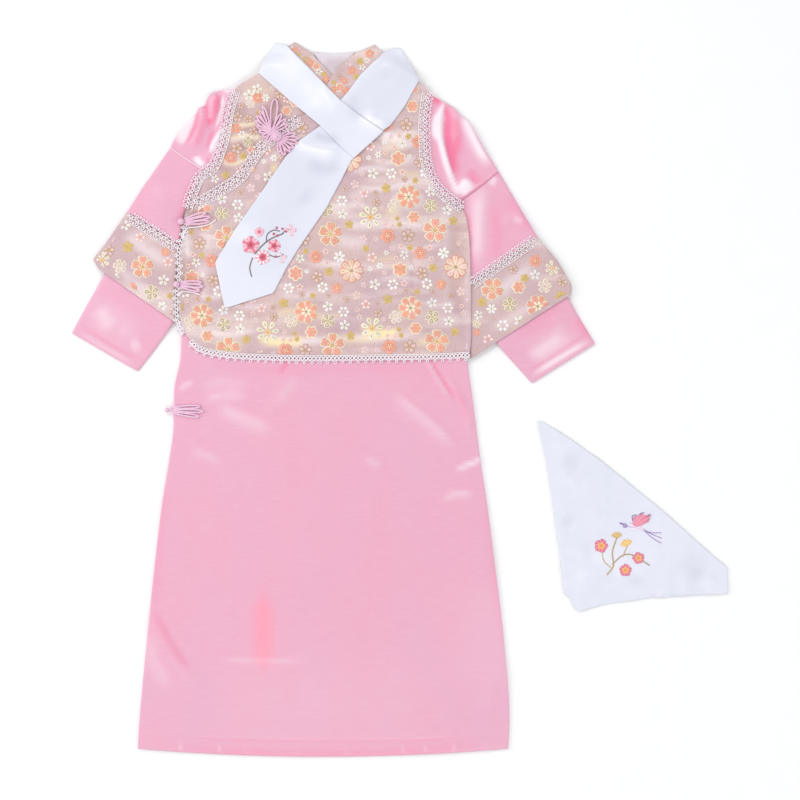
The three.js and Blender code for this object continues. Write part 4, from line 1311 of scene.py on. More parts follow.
def stitched_blossom(work, x, y, radius, turn, petals, heart, centre, number=5):
    """A blossom of two-coloured petals, with thread-like stamens and a round middle."""
    for k in range(number):
        angle = math.radians(turn) + math.tau * k / number
        base_x, base_y = x + 0.1 * radius * math.cos(angle), y + 0.1 * radius * math.sin(angle)
        stitched_petal(work, base_x, base_y, angle, radius * 0.9, radius * 1.05, petals)
        stitched_petal(work, base_x, base_y, angle, radius * 0.5, radius * 0.4, [heart], 3, 0.68)
    for k in range(number * 2):
        angle = math.radians(turn + 18) + math.pi * k / number
        work.petal(x, y, angle, radius * 0.42, 0.5, 0.8, centre, "leaf", 8)
    work.petal(x - 0.15 * radius, y, 0, 0.3 * radius, 0.3 * radius, 0.85, centre, "round", 8)


def embroider_scarf(sky):
    """A short plum branch with four blossoms and a few buds."""
    work = RaisedWork(sky)
    for twig in SCARF_TWIGS:
        stitched_line(work, *twig)
    for x, y in SCARF_BUDS:
        stitched_petal(work, x, y, rng.uniform(0.2, 2.2), 3.6, 2.4, [DEEP_ROSE, CRIMSON], 3, 0.7)
    for blossom in SCARF_BLOSSOMS:
        stitched_blossom(work, *blossom)
    for x, y, angle, length in SCARF_LOOSE_PETALS:
        stitched_petal(work, x, y, angle, length, length * 0.6, [PALE_BLUSH, BLUSH, WHITE])
    work.sew("scarf_embroidery", silk_thread, "scarf_tail", "scarf_tail_stretch")


def embroider_bird(work):
    """Body, head, beak, three wing feathers with their quills, and the tail."""
    stitched_petal(work, 366, 261, 2.86, 24, 8, [PALE_LILAC, LILAC, WHITE], 7)
    stitched_petal(work, 345, 265, 2.7, 6, 5, [VIOLET, LILAC], 5, 0.7)
    stitched_petal(work, 341, 268, 2.9, 5.5, 1.6, [VIOLET], 3, 0.6)
    for angle, length in ((0.95, 21), (0.62, 25), (1.32, 15)):
        feather = [BLUSH, ROSE_RED, BLUSH]
        stitched_petal(work, 352, 264, angle, length, length * 0.36, feather, 7, 0.7)
        tip_x, tip_y = 352 + length * math.cos(angle), 264 + length * math.sin(angle)
        stitched_line(work, [(353, 266), (tip_x - 5, tip_y - 2), (tip_x, tip_y)], 0.9, [VIOLET])
    for bend, tip_y in ((258, 258), (256, 252), (252, 246)):
        stitched_line(work, [(364, 261), (374, bend), (384, tip_y)], 1.0, [VIOLET, LILAC])


def embroider_handkerchief(sky):
    """A branch with three blossoms and gold buds, and a small bird over it."""
    work = RaisedWork(sky)
    for twig in KERCHIEF_TWIGS:
        stitched_line(work, *twig)
    for blossom in KERCHIEF_BLOSSOMS:
        stitched_blossom(work, *blossom, [ROSE_RED, CRIMSON, BLUSH], SUN, ORANGE)
    for angle in (0.7, 1.3, 1.9, 2.5):
        stitched_petal(work, 333, 252, angle, 8.0, 3.0, [TAN, SUN], 3)
        stitched_petal(work, 345, 243, angle + 0.3, 9.0, 3.6, [SUN, PALE_GOLD], 3)
    embroider_bird(work)
    work.sew("handkerchief_embroidery", silk_thread, "handkerchief",
             "handkerchief_cloth")


def sew_seams():
    """The cords of the two shoulder seams, with a painted highlight on the left one and painted
    shade on the right one.
    """
    seams = RaisedWork(blur(widened(skyline, 2), 1))
    for path, lift, radius, colour in (
        ([(-179, 699.4), (-163, 688.4), (-140, 673.5)], 0.0, 1.2, PAINTED_SEAM_HIGHLIGHT),
        ([(150, 638), (173, 653.5), (196, 672)], 0.1, 0.9, PAINTED_SEAM_SHADE),
    ):
        seams.sweep(*Route(path, 1.2).beside(0), lift, radius, colour)
    seams.sew("sleeve_seams", silk_thread, "robe_front", "robe_front_panel")


def sew_stitches():
    """Rows of even running stitches, coloured as a painted highlight."""
    work = RaisedWork(blur(skyline, 1))
    for path in STITCH_LINES:
        route = Route(path, STITCH_PITCH)
        for x, y, aside_x, aside_y in zip(route.x, route.y, route.aside_x, route.aside_y):
            angle = math.atan2(-aside_x, aside_y)
            work.petal(x, y, angle, STITCH_LENGTH, STITCH_WIDTH, STITCH_LIFT, PAINTED_SEAM_HIGHLIGHT,
                       "leaf", 8)
    work.sew("satin_stitches", silk_thread, "robe_front", "robe_front_panel")


# ---------------------------------------------------------------- tables of the cloth

ROBE = level([  # y, left, right and perhaps bow
    (10, -217, 208, -9), (43, -215, 209.5, -8), (135, -206.5, 203, -5), (227, -197, 192, -3),
    (296, -188.5, 183, -1), (342, -181, 176), (382, -176, 171), (419, -175.5, 166),
    (459, -168, 160), (494, -166, 150), (530, -138, 136), (620, -134, 134), (637, -136, 149),
    (642, -137, 157), (656, -139, 176), (672, -143, 197), (678, -151, 194), (700, -179, 180),
    (726, -161, 164.5), (741, -149, 150), (745.6, -147, 146), (747, -141, 144), (753, -138.5, 134),
    (759, -135.5, 123), (763.5, -130.5, 118), (766, -120, 114), (767.5, -104, 108),
    (780, -82, 86, -8), (791, -64, 60, -10),
])
VEST_BACK = level([
    (462, -128, 160, -3), (474, -151, 163, -2), (492, -164, 163), (529, -169, 163),
    (570, -167, 162), (627, -160, 157), (646, -153, 134), (668, -142, 118), (682, -126, 113),
    (714, -115, 110), (743, -110, 111), (766, -104, 114), (784, -78, 92, -4), (802, -52, 68, -8),
])
VEST_FRONT = level([
    (462, -128, 163.5, -3), (474, -151, 165, -2), (492, -165, 165.6), (529, -171, 165.4),
    (578, -169, 164.6), (606, -161, 162.4), (627, -157, 157.5), (636, -147, 146), (652, -122, 128),
    (669, -97, 118), (698, -77, 113), (718, -52, 111), (736, -28, 113), (752, 8, 116),
    (766, 28, 115), (784, 44, 92), (799, 57, 71),
])
VEST_UNDER = level([
    (632, -158, -136), (646, -154, -108), (668, -143, -78), (682, -127, -66), (698, -119, -54),
    (714, -116, -34), (736, -111, -6), (756, -107, 10), (768, -104, -2), (784, -80, -19),
    (800, -56, -36),
])
COLLAR_BACK = level([(782, 5, 9), (790, -3, 16), (799, -9, 24), (811, -16, 33, -2)])
HANDKERCHIEF = level([
    (168, 287, 290), (176, 283, 318), (183, 279, 368), (188, 273, 461), (218, 269, 460),
    (231, 268, 444), (286, 261, 382), (342, 252, 313), (369, 246, 274), (386, 242, 246),
])
COLLAR_LEFT = [  # x1, y1, x2, y2 and perhaps bow
    (-46, 815, -37, 822), (-31, 801, -20, 811), (-17, 784, -6, 796), (-3, 768, 8, 782),
    (9, 755, 12, 772),
]
COLLAR_RIGHT = [
    (55, 819, 65, 808), (33, 809, 54, 793), (20, 798, 41, 780), (7, 785, 31, 765),
    (-2, 767, 19, 747),
]
SCARF_NECK = [
    (-66, 790, -62, 806), (-46, 770, -44, 811), (-14, 752, -14, 802), (10, 749, 10, 799),
    (32, 753, 33, 802), (60, 768, 61, 804), (88, 782, 86, 808),
]
SCARF_RIGHT = [
    (64, 808, 84, 815, 2), (60, 803, 96, 797), (52, 796, 106, 777), (38, 782, 90, 748),
    (24, 763, 73, 725), (8, 744, 55, 712),
]
SCARF_TAIL = [
    (-4, 727, 42, 699), (-31, 708, 28, 685), (-47, 689, 17, 663), (-69, 657, 0, 631),
    (-105, 606, -33, 583), (-128, 568, -46, 562), (-122, 540, -61, 533), (-117, 516, -112, 517),
]
SCARF_LEFT = [
    (-68, 806, -59, 821), (-75, 794, -46, 818), (-78, 785, -35, 806), (-44, 755, -10, 780),
    (-8, 725, 15, 754), (15, 702, 42, 733), (31, 687.5, 65, 718),
]
SLEEVE_LEFT = [
    (-140.5, 675, -180.3, 699.8), (-164, 626, -211.5, 654.5), (-168.5, 588, -229, 626.7),
]
BAND_LEFT = [
    (-168.7, 587.5, -229.4, 626.3), (-173, 543, -253.8, 590.6), (-173, 508, -268.8, 571.8),
    (-173, 499, -262, 561),
]
CUFF_LEFT = [
    (-176, 515, -245.5, 570), (-176, 500, -254.5, 556), (-188, 482, -266.5, 535),
    (-198, 468, -276.5, 518), (-217, 443.5, -293, 487.5),
]
SLEEVE_RIGHT = [(150.5, 638, 197.5, 673), (161.5, 596, 218.3, 637), (161.7, 543, 241.3, 598.8)]
BAND_RIGHT = [
    (161.7, 542.5, 241.6, 598.4), (162.5, 500, 265.6, 569.6), (163.5, 466, 281.4, 542.4),
    (165, 458, 280.5, 531.6),
]
CUFF_RIGHT = [
    (188, 486.5, 268.5, 540), (197, 473.5, 277.5, 527), (208, 460.5, 285.5, 513),
    (217, 450.5, 292.5, 501), (235.5, 430, 308, 475.5),
]
SLEEVES = {
    "left": (SLEEVE_LEFT, BAND_LEFT, CUFF_LEFT),
    "right": (SLEEVE_RIGHT, BAND_RIGHT, CUFF_RIGHT),
}

# Folds, painted shade, painted highlights, painted gold sheen and a stain: path, amount, and its
# width at the left and right side or at both.
HEM_SEAM = [(-214, 28), (-110, 20.5), (0, 19), (110, 20.5), (206, 28)]
LEFT_CUFF_SEAM = [(-212, 454), (-250, 476), (-288, 500)]
RIGHT_CUFF_SEAM = [(227, 440), (264, 464), (302, 488)]
ROBE_FOLDS = [
    ([(-129, 766), (-130, 748), (-132, 724)], 4.2, 6, 7),
    ([(-120, 762), (-122, 746), (-127, 728), (-131, 718)], -2.2, 2, 1.5),
    ([(-139, 756), (-139, 742), (-135, 728), (-131, 716)], -2.2, 1.5, 2),
    ([(-117, 724), (-122, 717), (-129, 706), (-135, 694)], 3, 4, 3),
    ([(-127, 724), (-134, 710), (-137, 693)], -2.2, 1.6, 2),
    ([(-145, 748), (-145, 732), (-150, 714), (-157, 698)], 3, 7, 5),
    ([(-149.5, 746), (-151, 730), (-157, 716), (-164, 701)], -1.8, 1.6, 1.8),
    ([(-158, 736), (-166, 720), (-174, 704)], 1.8, 5, 7),
    ([(-150, 691), (-147, 684), (-141, 678)], 1.2, 4),
    ([(-188, 664), (-193, 628), (-203, 592)], 1.6, 14),
    ([(-150, 668), (-161, 628), (-173, 594)], -1.2, 8),
    ([(135, 756), (131, 735), (131, 715), (135, 696), (141, 675), (147, 656)], 4, 2, 6),
    ([(138.5, 754), (135.5, 735), (135.5, 715), (139, 696), (144.5, 675)], -2.2, 2, 1.5),
    ([(146, 748), (148, 724), (150, 704)], 2.4, 6),
    ([(152, 700), (156, 686), (162, 674)], -1.4, 6),
    ([(155, 744), (166, 722), (178, 698), (190, 680)], 2.4, 4, 7),
    ([(151, 650), (158, 655), (165, 664)], 1.8, 5, 6),
    ([(164, 676), (172, 664), (180, 668)], -1.2, 5),
    ([(187, 662), (176, 638), (173, 602), (171, 558)], 2.2, 9, 10),
    ([(163, 630), (165, 580)], -1.2, 6), ([(232, 612), (216, 620), (198, 608)], 0.9, 4, 7),
    ([(-142, 404), (-134, 414), (-116, 418), (-92, 417), (-80, 410)], 1.1, 3, 10),
    ([(-128, 404), (-98, 391), (-64, 376)], 1.2, 5, 10),
    ([(-40, 436), (-60, 408), (-70, 388)], 1.2, 7, 8), ([(-172, 424), (-150, 434)], 1.2, 3, 5),
    ([(-162, 370), (-146, 356), (-120, 346)], 1.2, 4, 7),
    ([(-41, 458), (-48, 448), (-55, 440)], -1.2, 2, 2.5),
    ([(110, 462), (124, 438), (146, 404)], 2.2, 3, 2),
    ([(117, 462), (131, 436), (150, 406)], -1.8, 2),
    ([(132, 444), (152, 416), (161, 394), (163, 364)], 2, 3, 4),
    ([(74, 420), (98, 404), (124, 384), (152, 356)], 1.2, 3, 10),
    ([(142, 330), (160, 335), (182, 347)], 2, 2.5, 4),
    ([(128, 296), (150, 303), (172, 302)], 1.5, 3, 6),
    ([(38, 346), (54, 338), (70, 336)], 1.1, 4, 6),
    ([(-206, 172), (-184, 132), (-158, 92), (-140, 70)], 2.2, 11, 13),
    ([(-198, 176), (-176, 134), (-148, 90)], -1.4, 4, 5),
    ([(-132, 112), (-72, 109), (-12, 113)], 1, 1.8, 5),
    ([(196, 120), (186, 84), (168, 52)], 1.4, 12), ([(-30, 82), (6, 60), (40, 56)], 0.8, 12),
    ([(100, 214), (128, 178), (146, 150)], 0.8, 14, 16),
    ([(-40, 300), (-20, 240), (-10, 180)], 0.8, 22, 26), (HEM_SEAM, -0.9, 1.4),
    ([(-170, 5), (-167, 20)], 0.9, 3, 4), ([(-126, 3), (-121, 19)], 1, 3),
    ([(-96, 2), (-90, 17)], 0.8, 3, 4), ([(-34, 1), (-30, 16)], 0.7, 4, 3),
    ([(20, 1), (24, 15)], 0.6, 4), ([(90, 2), (86, 18)], 0.8, 4, 3),
    ([(116, 3), (111, 18)], 0.9, 3, 4), ([(149, 4), (143, 20)], 0.9, 3),
    ([(186, 6), (180, 22)], 0.7, 4),
]
# Painted shade in the robe's folds and creases, along its sides, along the hem's bottom edge and
# stitched seam, and under the vest's lace.
ROBE_PAINTED_SHADE = [
    ([(-125, 764), (-127, 748), (-131, 724)], 1.8, 3, 3.6),
    ([(-136.5, 758), (-138.5, 745), (-136, 732), (-131.5, 720)], 0.8, 3.2, 1),
    ([(-139, 754), (-134, 764), (-127, 767), (-121, 762)], 0.5, 1.3),
    ([(-127, 724), (-133.5, 710), (-136.5, 692)], 0.6, 0.9, 1.8),
    ([(-148.6, 747), (-150, 730), (-156, 716), (-163, 700)], 0.55, 4, 0.9),
    ([(-141, 744), (-142, 729), (-147, 712), (-152, 697)], 0.5, 5),
    ([(-137, 690), (-134, 680)], 0.5, 3), ([(-152, 744), (-165, 724), (-179, 703)], 0.3, 1.2),
    ([(138, 756), (135.4, 735), (135.4, 715), (139, 696), (144.6, 675), (150, 658)], 1.5, 7.5,
      0.9),
    ([(146, 744), (149, 724), (150, 704), (148, 686)], 0.7, 6, 5),
    ([(164, 678), (170, 663), (180, 667)], 0.55, 5),
    ([(120, 758), (126, 755), (134, 748)], 1.3, 3, 4),
    ([(152, 744), (170, 716), (198, 672)], 0.35, 1.4, 1.2),
    ([(-148, 668), (-158, 636), (-168, 602)], 0.45, 7, 8),
    ([(162, 634), (165, 590), (165, 552)], 0.5, 5),
    ([(205, 650), (222, 624), (238, 602)], 0.25, 7, 10),
    ([(192, 640), (196, 600), (192, 566)], 0.25, 7, 8),
    ([(-186, 330), (-196, 240), (-206, 150)], 0.2, 8),
    ([(184, 320), (194, 230), (206, 120)], 0.2, 8), ([(-41, 458), (-55, 441)], 0.4, 3, 4),
    ([(115, 460), (131, 436), (150, 406)], 0.55, 2, 2.5),
    ([(140, 432), (156, 408), (162, 380)], 0.5, 2, 2.5),
    ([(-202, 174), (-180, 132), (-152, 92)], 0.35, 4, 6),
    ([(-212, 12), (-100, 4), (0, 2), (100, 4), (204, 12)], 0.4, 7, 5), (HEM_SEAM, 0.25, 1.5),
    ([(-156, 470), (-100, 448), (0, 446), (100, 448), (158, 452)], 0.12, 9, 7),
]
# Painted highlights on the robe's folds and the hem's puckers, and broad painted light over the
# skirt's bottom and its right side.
ROBE_PAINTED_HIGHLIGHTS = [
    ([(-160, 70), (0, 60), (160, 70)], 0.07, 60), ([(178, 220), (184, 60)], 0.08, 50, 40),
    ([(-119.4, 764), (-121, 748), (-125, 734), (-130, 720)], 1.5, 2, 0.9),
    ([(-119, 768), (-112, 766), (-106, 766)], 1.6, 3),
    ([(-117, 725), (-122, 717), (-129, 706), (-135, 693)], 2.4, 4.2, 2.4),
    ([(-151.5, 746), (-154, 731), (-160, 716), (-168, 700)], 2.2, 1, 8),
    ([(-151, 692), (-147, 684), (-140, 678)], 1.1, 4),
    ([(135.6, 762), (132.2, 735), (132.2, 714), (135.6, 696), (141.4, 675), (148, 655), (151,
      636)], 2.6, 0.9, 4),
    ([(132, 744), (125.5, 727), (127, 706)], 1.7, 6, 4.5),
    ([(151, 646), (157, 654), (165, 664)], 1.8, 6, 7),
    ([(153, 747), (164, 722), (177, 696), (191, 676)], 0.95, 3, 7),
    ([(188, 664), (176, 640), (173, 604), (171, 556)], 0.5, 9, 10),
    ([(194, 668), (188, 656)], 0.6, 4, 5), ([(212, 620), (226, 615)], 0.4, 2.5, 4),
    ([(-142, 402), (-134, 413), (-116, 417), (-88, 416)], 0.22, 2, 6),
    ([(-130, 410), (-106, 396), (-82, 386), (-56, 374)], 0.26, 5, 12),
    ([(-60, 402), (-44, 424), (-34, 440)], 0.16, 5, 7), ([(-172, 423), (-152, 433)], 0.35, 2, 4),
    ([(112, 462), (127, 438), (146, 408)], 0.3, 1.2, 2),
    ([(-150, 424), (-120, 432), (-84, 424)], 0.16, 5, 12),
    ([(-160, 352), (-140, 348), (-118, 338)], 0.2, 3, 6),
    ([(146, 332), (162, 337), (182, 346)], 0.6, 2, 4),
    ([(130, 298), (152, 304), (172, 303)], 0.28, 3, 6),
    ([(70, 424), (98, 402), (126, 378), (150, 354)], 0.24, 3, 10),
    ([(-206, 150), (-198, 110), (-176, 76)], 0.2, 7, 10), ([(44, 343), (62, 338)], 0.2, 3, 5),
    ([(-132, 114), (-72, 111), (-12, 115)], 0.2, 1.5, 2), ([(-169, 9), (-167, 15)], 0.25, 1.5),
    ([(-124, 8), (-122, 15)], 0.4, 1.5), ([(-94, 8), (-91, 14)], 0.35, 1.5),
    ([(-33, 7), (-31, 12)], 0.2, 1.5), ([(88, 7), (87, 13)], 0.25, 1.5),
    ([(114, 8), (112, 15)], 0.3, 1.5), ([(147, 9), (145, 15)], 0.3, 1.5),
]
ROBE_STAIN = [
    ([(-73, 98), (-73, 143), (-73.5, 190)], 1, 12.5),
    ([(-73, 76), (-73, 143), (-73.5, 212)], 0.6, 6.5),
]
# Painted shade in the middle of the neck lining, and painted highlights along its top and at its V.
LINING_PAINTED_SHADE = [([(-6, 801), (8, 795), (26, 801)], 0.6, 8)]
LINING_PAINTED_HIGHLIGHTS = [([(-14, 811), (10, 809), (32, 811)], 0.4, 4), ([(6, 789), (8, 778)], 0.6, 3)]
CUFF_FOLDS = [
    ([(-270, 534), (-256, 508), (-246, 478)], 1.3, 9, 12),
    ([(-206, 480), (-228, 488), (-240, 480)], 0.8, 6, 7),
    ([(214, 472), (244, 482), (280, 500)], 1.6, 6, 9), ([(262, 512), (272, 488)], 1, 7),
    (LEFT_CUFF_SEAM, -0.6, 1.5), (RIGHT_CUFF_SEAM, -0.6, 1.5),
]
# Painted shade on the cuffs: under the bands and in the stitched seams.
CUFF_PAINTED_SHADE = [
    ([(-190, 497), (-214, 510), (-262, 542)], 0.1, 5, 14), (LEFT_CUFF_SEAM, 0.3, 1.5),
    ([(212, 480), (250, 506), (284, 524)], 0.15, 12, 6), ([(286, 508), (304, 478)], 0.35, 5, 6),
    (RIGHT_CUFF_SEAM, 0.35, 1.5),
]
# Painted highlights on the cuffs, with light lines along their stitched ends.
CUFF_PAINTED_HIGHLIGHTS = [
    ([(-214, 478), (-250, 505), (-276, 520)], 0.15, 16),
    ([(236, 452), (262, 470), (290, 492)], 0.2, 14, 12),
    ([(-262, 520), (-254, 504), (-246, 490)], 0.3, 9, 10), ([(-226, 470), (-214, 476)], 0.4, 7),
    ([(-216, 448), (-254, 470), (-291, 492)], 0.35, 2),
    ([(226, 458), (250, 472), (276, 490)], 0.42, 6, 9),
    ([(231, 436), (268, 459), (306, 482)], 0.9, 2.5),
]
VEST_FOLDS = [
    ([(58, 722), (84, 708), (108, 706)], 1.8, 5, 8),
    ([(60, 708), (84, 696), (108, 694)], -1, 4, 5),
    ([(24, 646), (60, 642), (108, 650)], 1.6, 8, 12),
    ([(10, 588), (56, 590), (92, 598)], 1.3, 10, 12),
    ([(-96, 486), (-30, 478), (40, 486)], 1.9, 5, 8),
    ([(60, 482), (96, 486), (130, 480)], 1.4, 6, 7), ([(-152, 540), (-118, 536)], 1, 9),
    ([(-140, 614), (-112, 602), (-92, 606)], 1.1, 8),
    ([(96, 596), (98, 540), (97, 482)], -0.7, 1.8),
    ([(-84, 672), (-60, 690), (-44, 702)], 1.5, 5, 7),
    ([(128, 640), (140, 600), (142, 560)], 1.1, 10, 9),
    ([(40, 702), (70, 697), (108, 704)], 0.9, 2.5, 4),
    ([(20, 668), (48, 676), (84, 672)], 1, 3, 5), ([(30, 656), (64, 652), (110, 660)], 0.9, 3, 4),
    ([(-6, 628), (24, 633), (60, 630)], 0.8, 3, 4),
    ([(56, 606), (84, 612), (122, 606)], 0.9, 3, 4),
    ([(-30, 560), (4, 566), (36, 560)], 0.7, 3, 5),
    ([(40, 520), (84, 524), (120, 517)], 0.7, 3, 4),
    ([(-120, 522), (-84, 516), (-52, 521)], 0.8, 3, 4),
    ([(-10, 500), (30, 504), (74, 498)], 0.9, 2.5, 4),
    ([(84, 494), (120, 497), (150, 490)], 0.7, 2.5, 4),
    ([(-150, 590), (-130, 584), (-112, 588)], 0.6, 3, 4),
    ([(-146, 508), (-120, 502), (-96, 508)], 0.7, 2.5, 4),
]
# Painted shade on the vest's front: beside the scarf and in a faint crease.
VEST_PAINTED_SHADE = [
    ([(54, 728), (36, 700), (22, 676)], 0.45, 7), ([(-120, 612), (-116, 590)], 0.25, 8),
    ([(-40, 742), (-16, 742)], 0.3, 7), ([(96, 594), (98, 540), (97, 484)], 0.16, 2.5),
]
# Painted highlights on the crinkles and folds of the vest's front.
VEST_PAINTED_HIGHLIGHTS = [
    ([(70, 642), (96, 640), (112, 650)], 0.6, 8, 10),
    ([(-160, 606), (-161, 590), (-158, 568)], 0.8, 4, 5), ([(60, 706), (92, 708)], 0.4, 6),
    ([(24, 640), (44, 642)], 0.35, 8), ([(-150, 566), (-140, 552)], 0.35, 8),
    ([(6, 594), (48, 590)], 0.4, 8), ([(-72, 486), (-30, 478), (8, 482)], 0.45, 4, 6),
    ([(24, 670), (48, 677), (80, 674)], 0.4, 2, 4),
    ([(60, 609), (84, 614), (118, 609)], 0.35, 2, 3),
    ([(0, 631), (24, 635), (56, 632)], 0.35, 2, 3),
    ([(48, 706), (72, 700), (106, 707)], 0.35, 2, 3),
    ([(-116, 525), (-84, 519), (-56, 524)], 0.3, 2, 3),
    ([(52, 722), (74, 714), (104, 718)], 0.6, 2, 5),
    ([(46, 690), (70, 684), (108, 690)], 0.55, 1.6, 5),
    ([(30, 660), (56, 654), (112, 664)], 0.55, 1.6, 5),
    ([(14, 616), (40, 612), (74, 618)], 0.45, 1.6, 5),
    ([(70, 590), (100, 584), (140, 592)], 0.45, 1.6, 4),
    ([(-20, 574), (10, 568), (40, 574)], 0.45, 1.6, 5),
    ([(50, 548), (84, 552), (118, 546)], 0.4, 1.6, 4),
    ([(-150, 604), (-132, 598), (-112, 602)], 0.5, 1.6, 4),
    ([(-158, 534), (-132, 529), (-108, 534)], 0.5, 1.6, 4),
    ([(-60, 536), (-34, 530), (-6, 535)], 0.45, 1.6, 4),
    ([(-146, 492), (-112, 486), (-80, 492)], 0.5, 1.6, 4),
    ([(10, 488), (60, 482), (110, 488)], 0.55, 2, 5),
    ([(104, 524), (128, 520), (152, 524)], 0.4, 1.6, 4),
]
# Painted gold sheen on the vest's front, brightest along its lower edge.
VEST_PAINTED_GOLD_SHEEN = [
    ([(36, 492), (62, 487), (86, 491)], 1.3, 4, 6),
    ([(-84, 482), (-50, 477), (-20, 481)], 1.1, 4, 6),
    ([(-62, 508), (-40, 512), (-24, 508)], 0.4, 5), ([(68, 632), (84, 618)], 0.35, 8),
    ([(60, 700), (92, 704)], 0.3, 7), ([(-66, 676), (-50, 676)], 0.7, 6, 7),
    ([(-4, 484), (30, 480), (64, 484)], 0.5, 3, 5), ([(96, 474), (124, 478), (146, 474)], 0.5, 4),
    ([(-132, 478), (-112, 474), (-92, 476)], 0.5, 4),
    ([(76, 676), (96, 670), (112, 674)], 0.4, 3, 5),
    ([(-26, 512), (-2, 506), (22, 510)], 0.4, 3, 5),
    ([(40, 576), (60, 572), (84, 576)], 0.35, 3, 5),
]
# Painted highlights along the sleeve bands.
BAND_PAINTED_HIGHLIGHTS = [
    ([(-178, 562), (-204, 580), (-236, 603)], 0.5, 6, 9),
    ([(-190, 522), (-214, 540), (-246, 566)], 0.35, 5, 7),
    ([(176, 520), (208, 544), (244, 572)], 0.5, 7, 9),
    ([(182, 488), (214, 506), (252, 532)], 0.35, 5, 7),
]
CHEST_FOLDS = [
    ([(-116, 722), (-92, 726), (-70, 728)], 2, 3, 4),
    ([(-116, 706), (-92, 712), (-68, 712)], 2.6, 3.5, 4),
    ([(-124, 684), (-104, 681), (-86, 688)], 2.4, 3.5, 4),
    ([(-124, 694), (-98, 696), (-76, 700)], -1.4, 3), ([(-120, 744), (-100, 742)], 1, 5),
]
# Painted shade in the chest panel's creases and near the scarf.
CHEST_PAINTED_SHADE = [
    ([(-116, 718), (-92, 721), (-72, 722)], 0.6, 3),
    ([(-118, 699), (-98, 701), (-76, 705)], 0.75, 4), ([(-108, 738), (-88, 740)], 0.4, 6),
    ([(-76, 740), (-40, 756), (-14, 764)], 0.4, 12, 10),
    ([(-34, 740), (-16, 745), (-4, 752)], 0.45, 8, 6), ([(-126, 678), (-108, 674)], 0.4, 4, 5),
]
# Painted gold sheen along the chest panel's fold ridges, and a painted glow near the collar.
CHEST_PAINTED_GOLD_SHEEN = [
    ([(-114, 725), (-100, 726), (-74, 728)], 0.6, 1.5, 3),
    ([(-116, 709), (-96, 713), (-70, 713)], 0.6, 1.8, 3.5),
    ([(-124, 687), (-104, 683), (-90, 690)], 0.6, 2, 4), ([(-60, 786), (-52, 776)], 0.5, 4),
    ([(-100, 762), (-60, 766)], 0.25, 10), ([(-84, 668), (-70, 676), (-54, 680)], 0.6, 3, 5),
]
SCARF_KNOT_FOLDS = [
    ([(42, 738), (56, 730), (76, 724)], 3.4, 7, 8),
    ([(-40, 706), (-20, 698), (2, 694), (18, 698)], 3.6, 5, 9),
    ([(-24, 684), (0, 676), (20, 684)], -1.6, 6, 7),
    ([(-92, 620), (-74, 586), (-70, 552)], 1.6, 16),
    ([(-20, 668), (-40, 634), (-60, 604)], -0.9, 12),
]
SCARF_NECK_FOLDS = [
    ([(60, 800), (76, 782), (82, 760)], 1.2, 12), ([(-8, 778), (2, 760), (12, 742)], 0.8, 3),
    ([(-62, 800), (-44, 782), (-30, 768)], 1, 12),
]
# Painted shade on the scarf: broad shading, and in its creases near the knot.
SCARF_PAINTED_SHADE = [
    ([(112, 800), (76, 770), (40, 730)], 0.28, 26, 30),
    ([(10, 700), (-40, 640), (-90, 540)], 0.26, 40),
    ([(-26, 682), (0, 676), (20, 684)], 0.5, 7, 9), ([(22, 760), (34, 744), (26, 728)], 0.35, 8),
    ([(-20, 718), (0, 710), (20, 708)], 0.7, 5, 6), ([(-30, 650), (-16, 636)], 0.3, 12),
    ([(64, 792), (72, 778)], 0.2, 10), ([(-2, 772), (8, 752)], 0.22, 3),
]
# Painted highlights on the scarf's folds.
SCARF_PAINTED_HIGHLIGHTS = [
    ([(-70, 812), (-30, 775), (14, 734)], 0.55, 14),
    ([(38, 738), (50, 730), (66, 724)], 0.8, 5, 8),
    ([(-38, 709), (-20, 700), (2, 696), (16, 700)], 0.8, 4, 7),
    ([(-100, 616), (-94, 584)], 0.35, 14),
]
KERCHIEF_FOLDS = [
    ([(262, 330), (290, 310), (318, 322)], 1.2, 8, 9),
    ([(286, 290), (322, 268), (350, 276)], 1.3, 9),
    ([(270, 250), (300, 228), (330, 232)], 1.3, 8, 10),
    ([(348, 196), (364, 222), (386, 244)], 1.6, 9, 12),
    ([(396, 194), (414, 214), (424, 236)], 1.7, 8, 12), ([(432, 192), (444, 208)], 1.3, 8),
    ([(292, 188), (306, 206), (330, 214)], 1.1, 8), ([(262, 366), (272, 344)], 0.9, 7),
]
# Painted shade in the handkerchief's creases.
KERCHIEF_PAINTED_SHADE = [
    ([(270, 346), (290, 330)], 0.3, 12), ([(408, 230), (424, 214), (434, 206)], 0.4, 9, 12),
    ([(352, 196), (360, 210)], 0.3, 9), ([(270, 276), (284, 268)], 0.3, 9),
]
# Painted highlights on the handkerchief's folds.
KERCHIEF_PAINTED_HIGHLIGHTS = [
    ([(300, 240), (330, 224), (350, 218)], 0.25, 14), ([(284, 216), (298, 204)], 0.3, 10),
]


# ---------------------------------------------------------------- laying the set

add_camera()
add_lights()

undulation = soft_noise(64, 64) * 0.42 + soft_noise(27, 27) * 0.16
crumple = -np.abs(soft_noise(24, 24)) * 0.9 - np.abs(soft_noise(12, 12)) * 0.4
creases = soft_noise(34, 9) * 0.4 + soft_noise(18, 5) * 0.22
upper_folds = strokes(ROBE_FOLDS) + undulation + 0.6


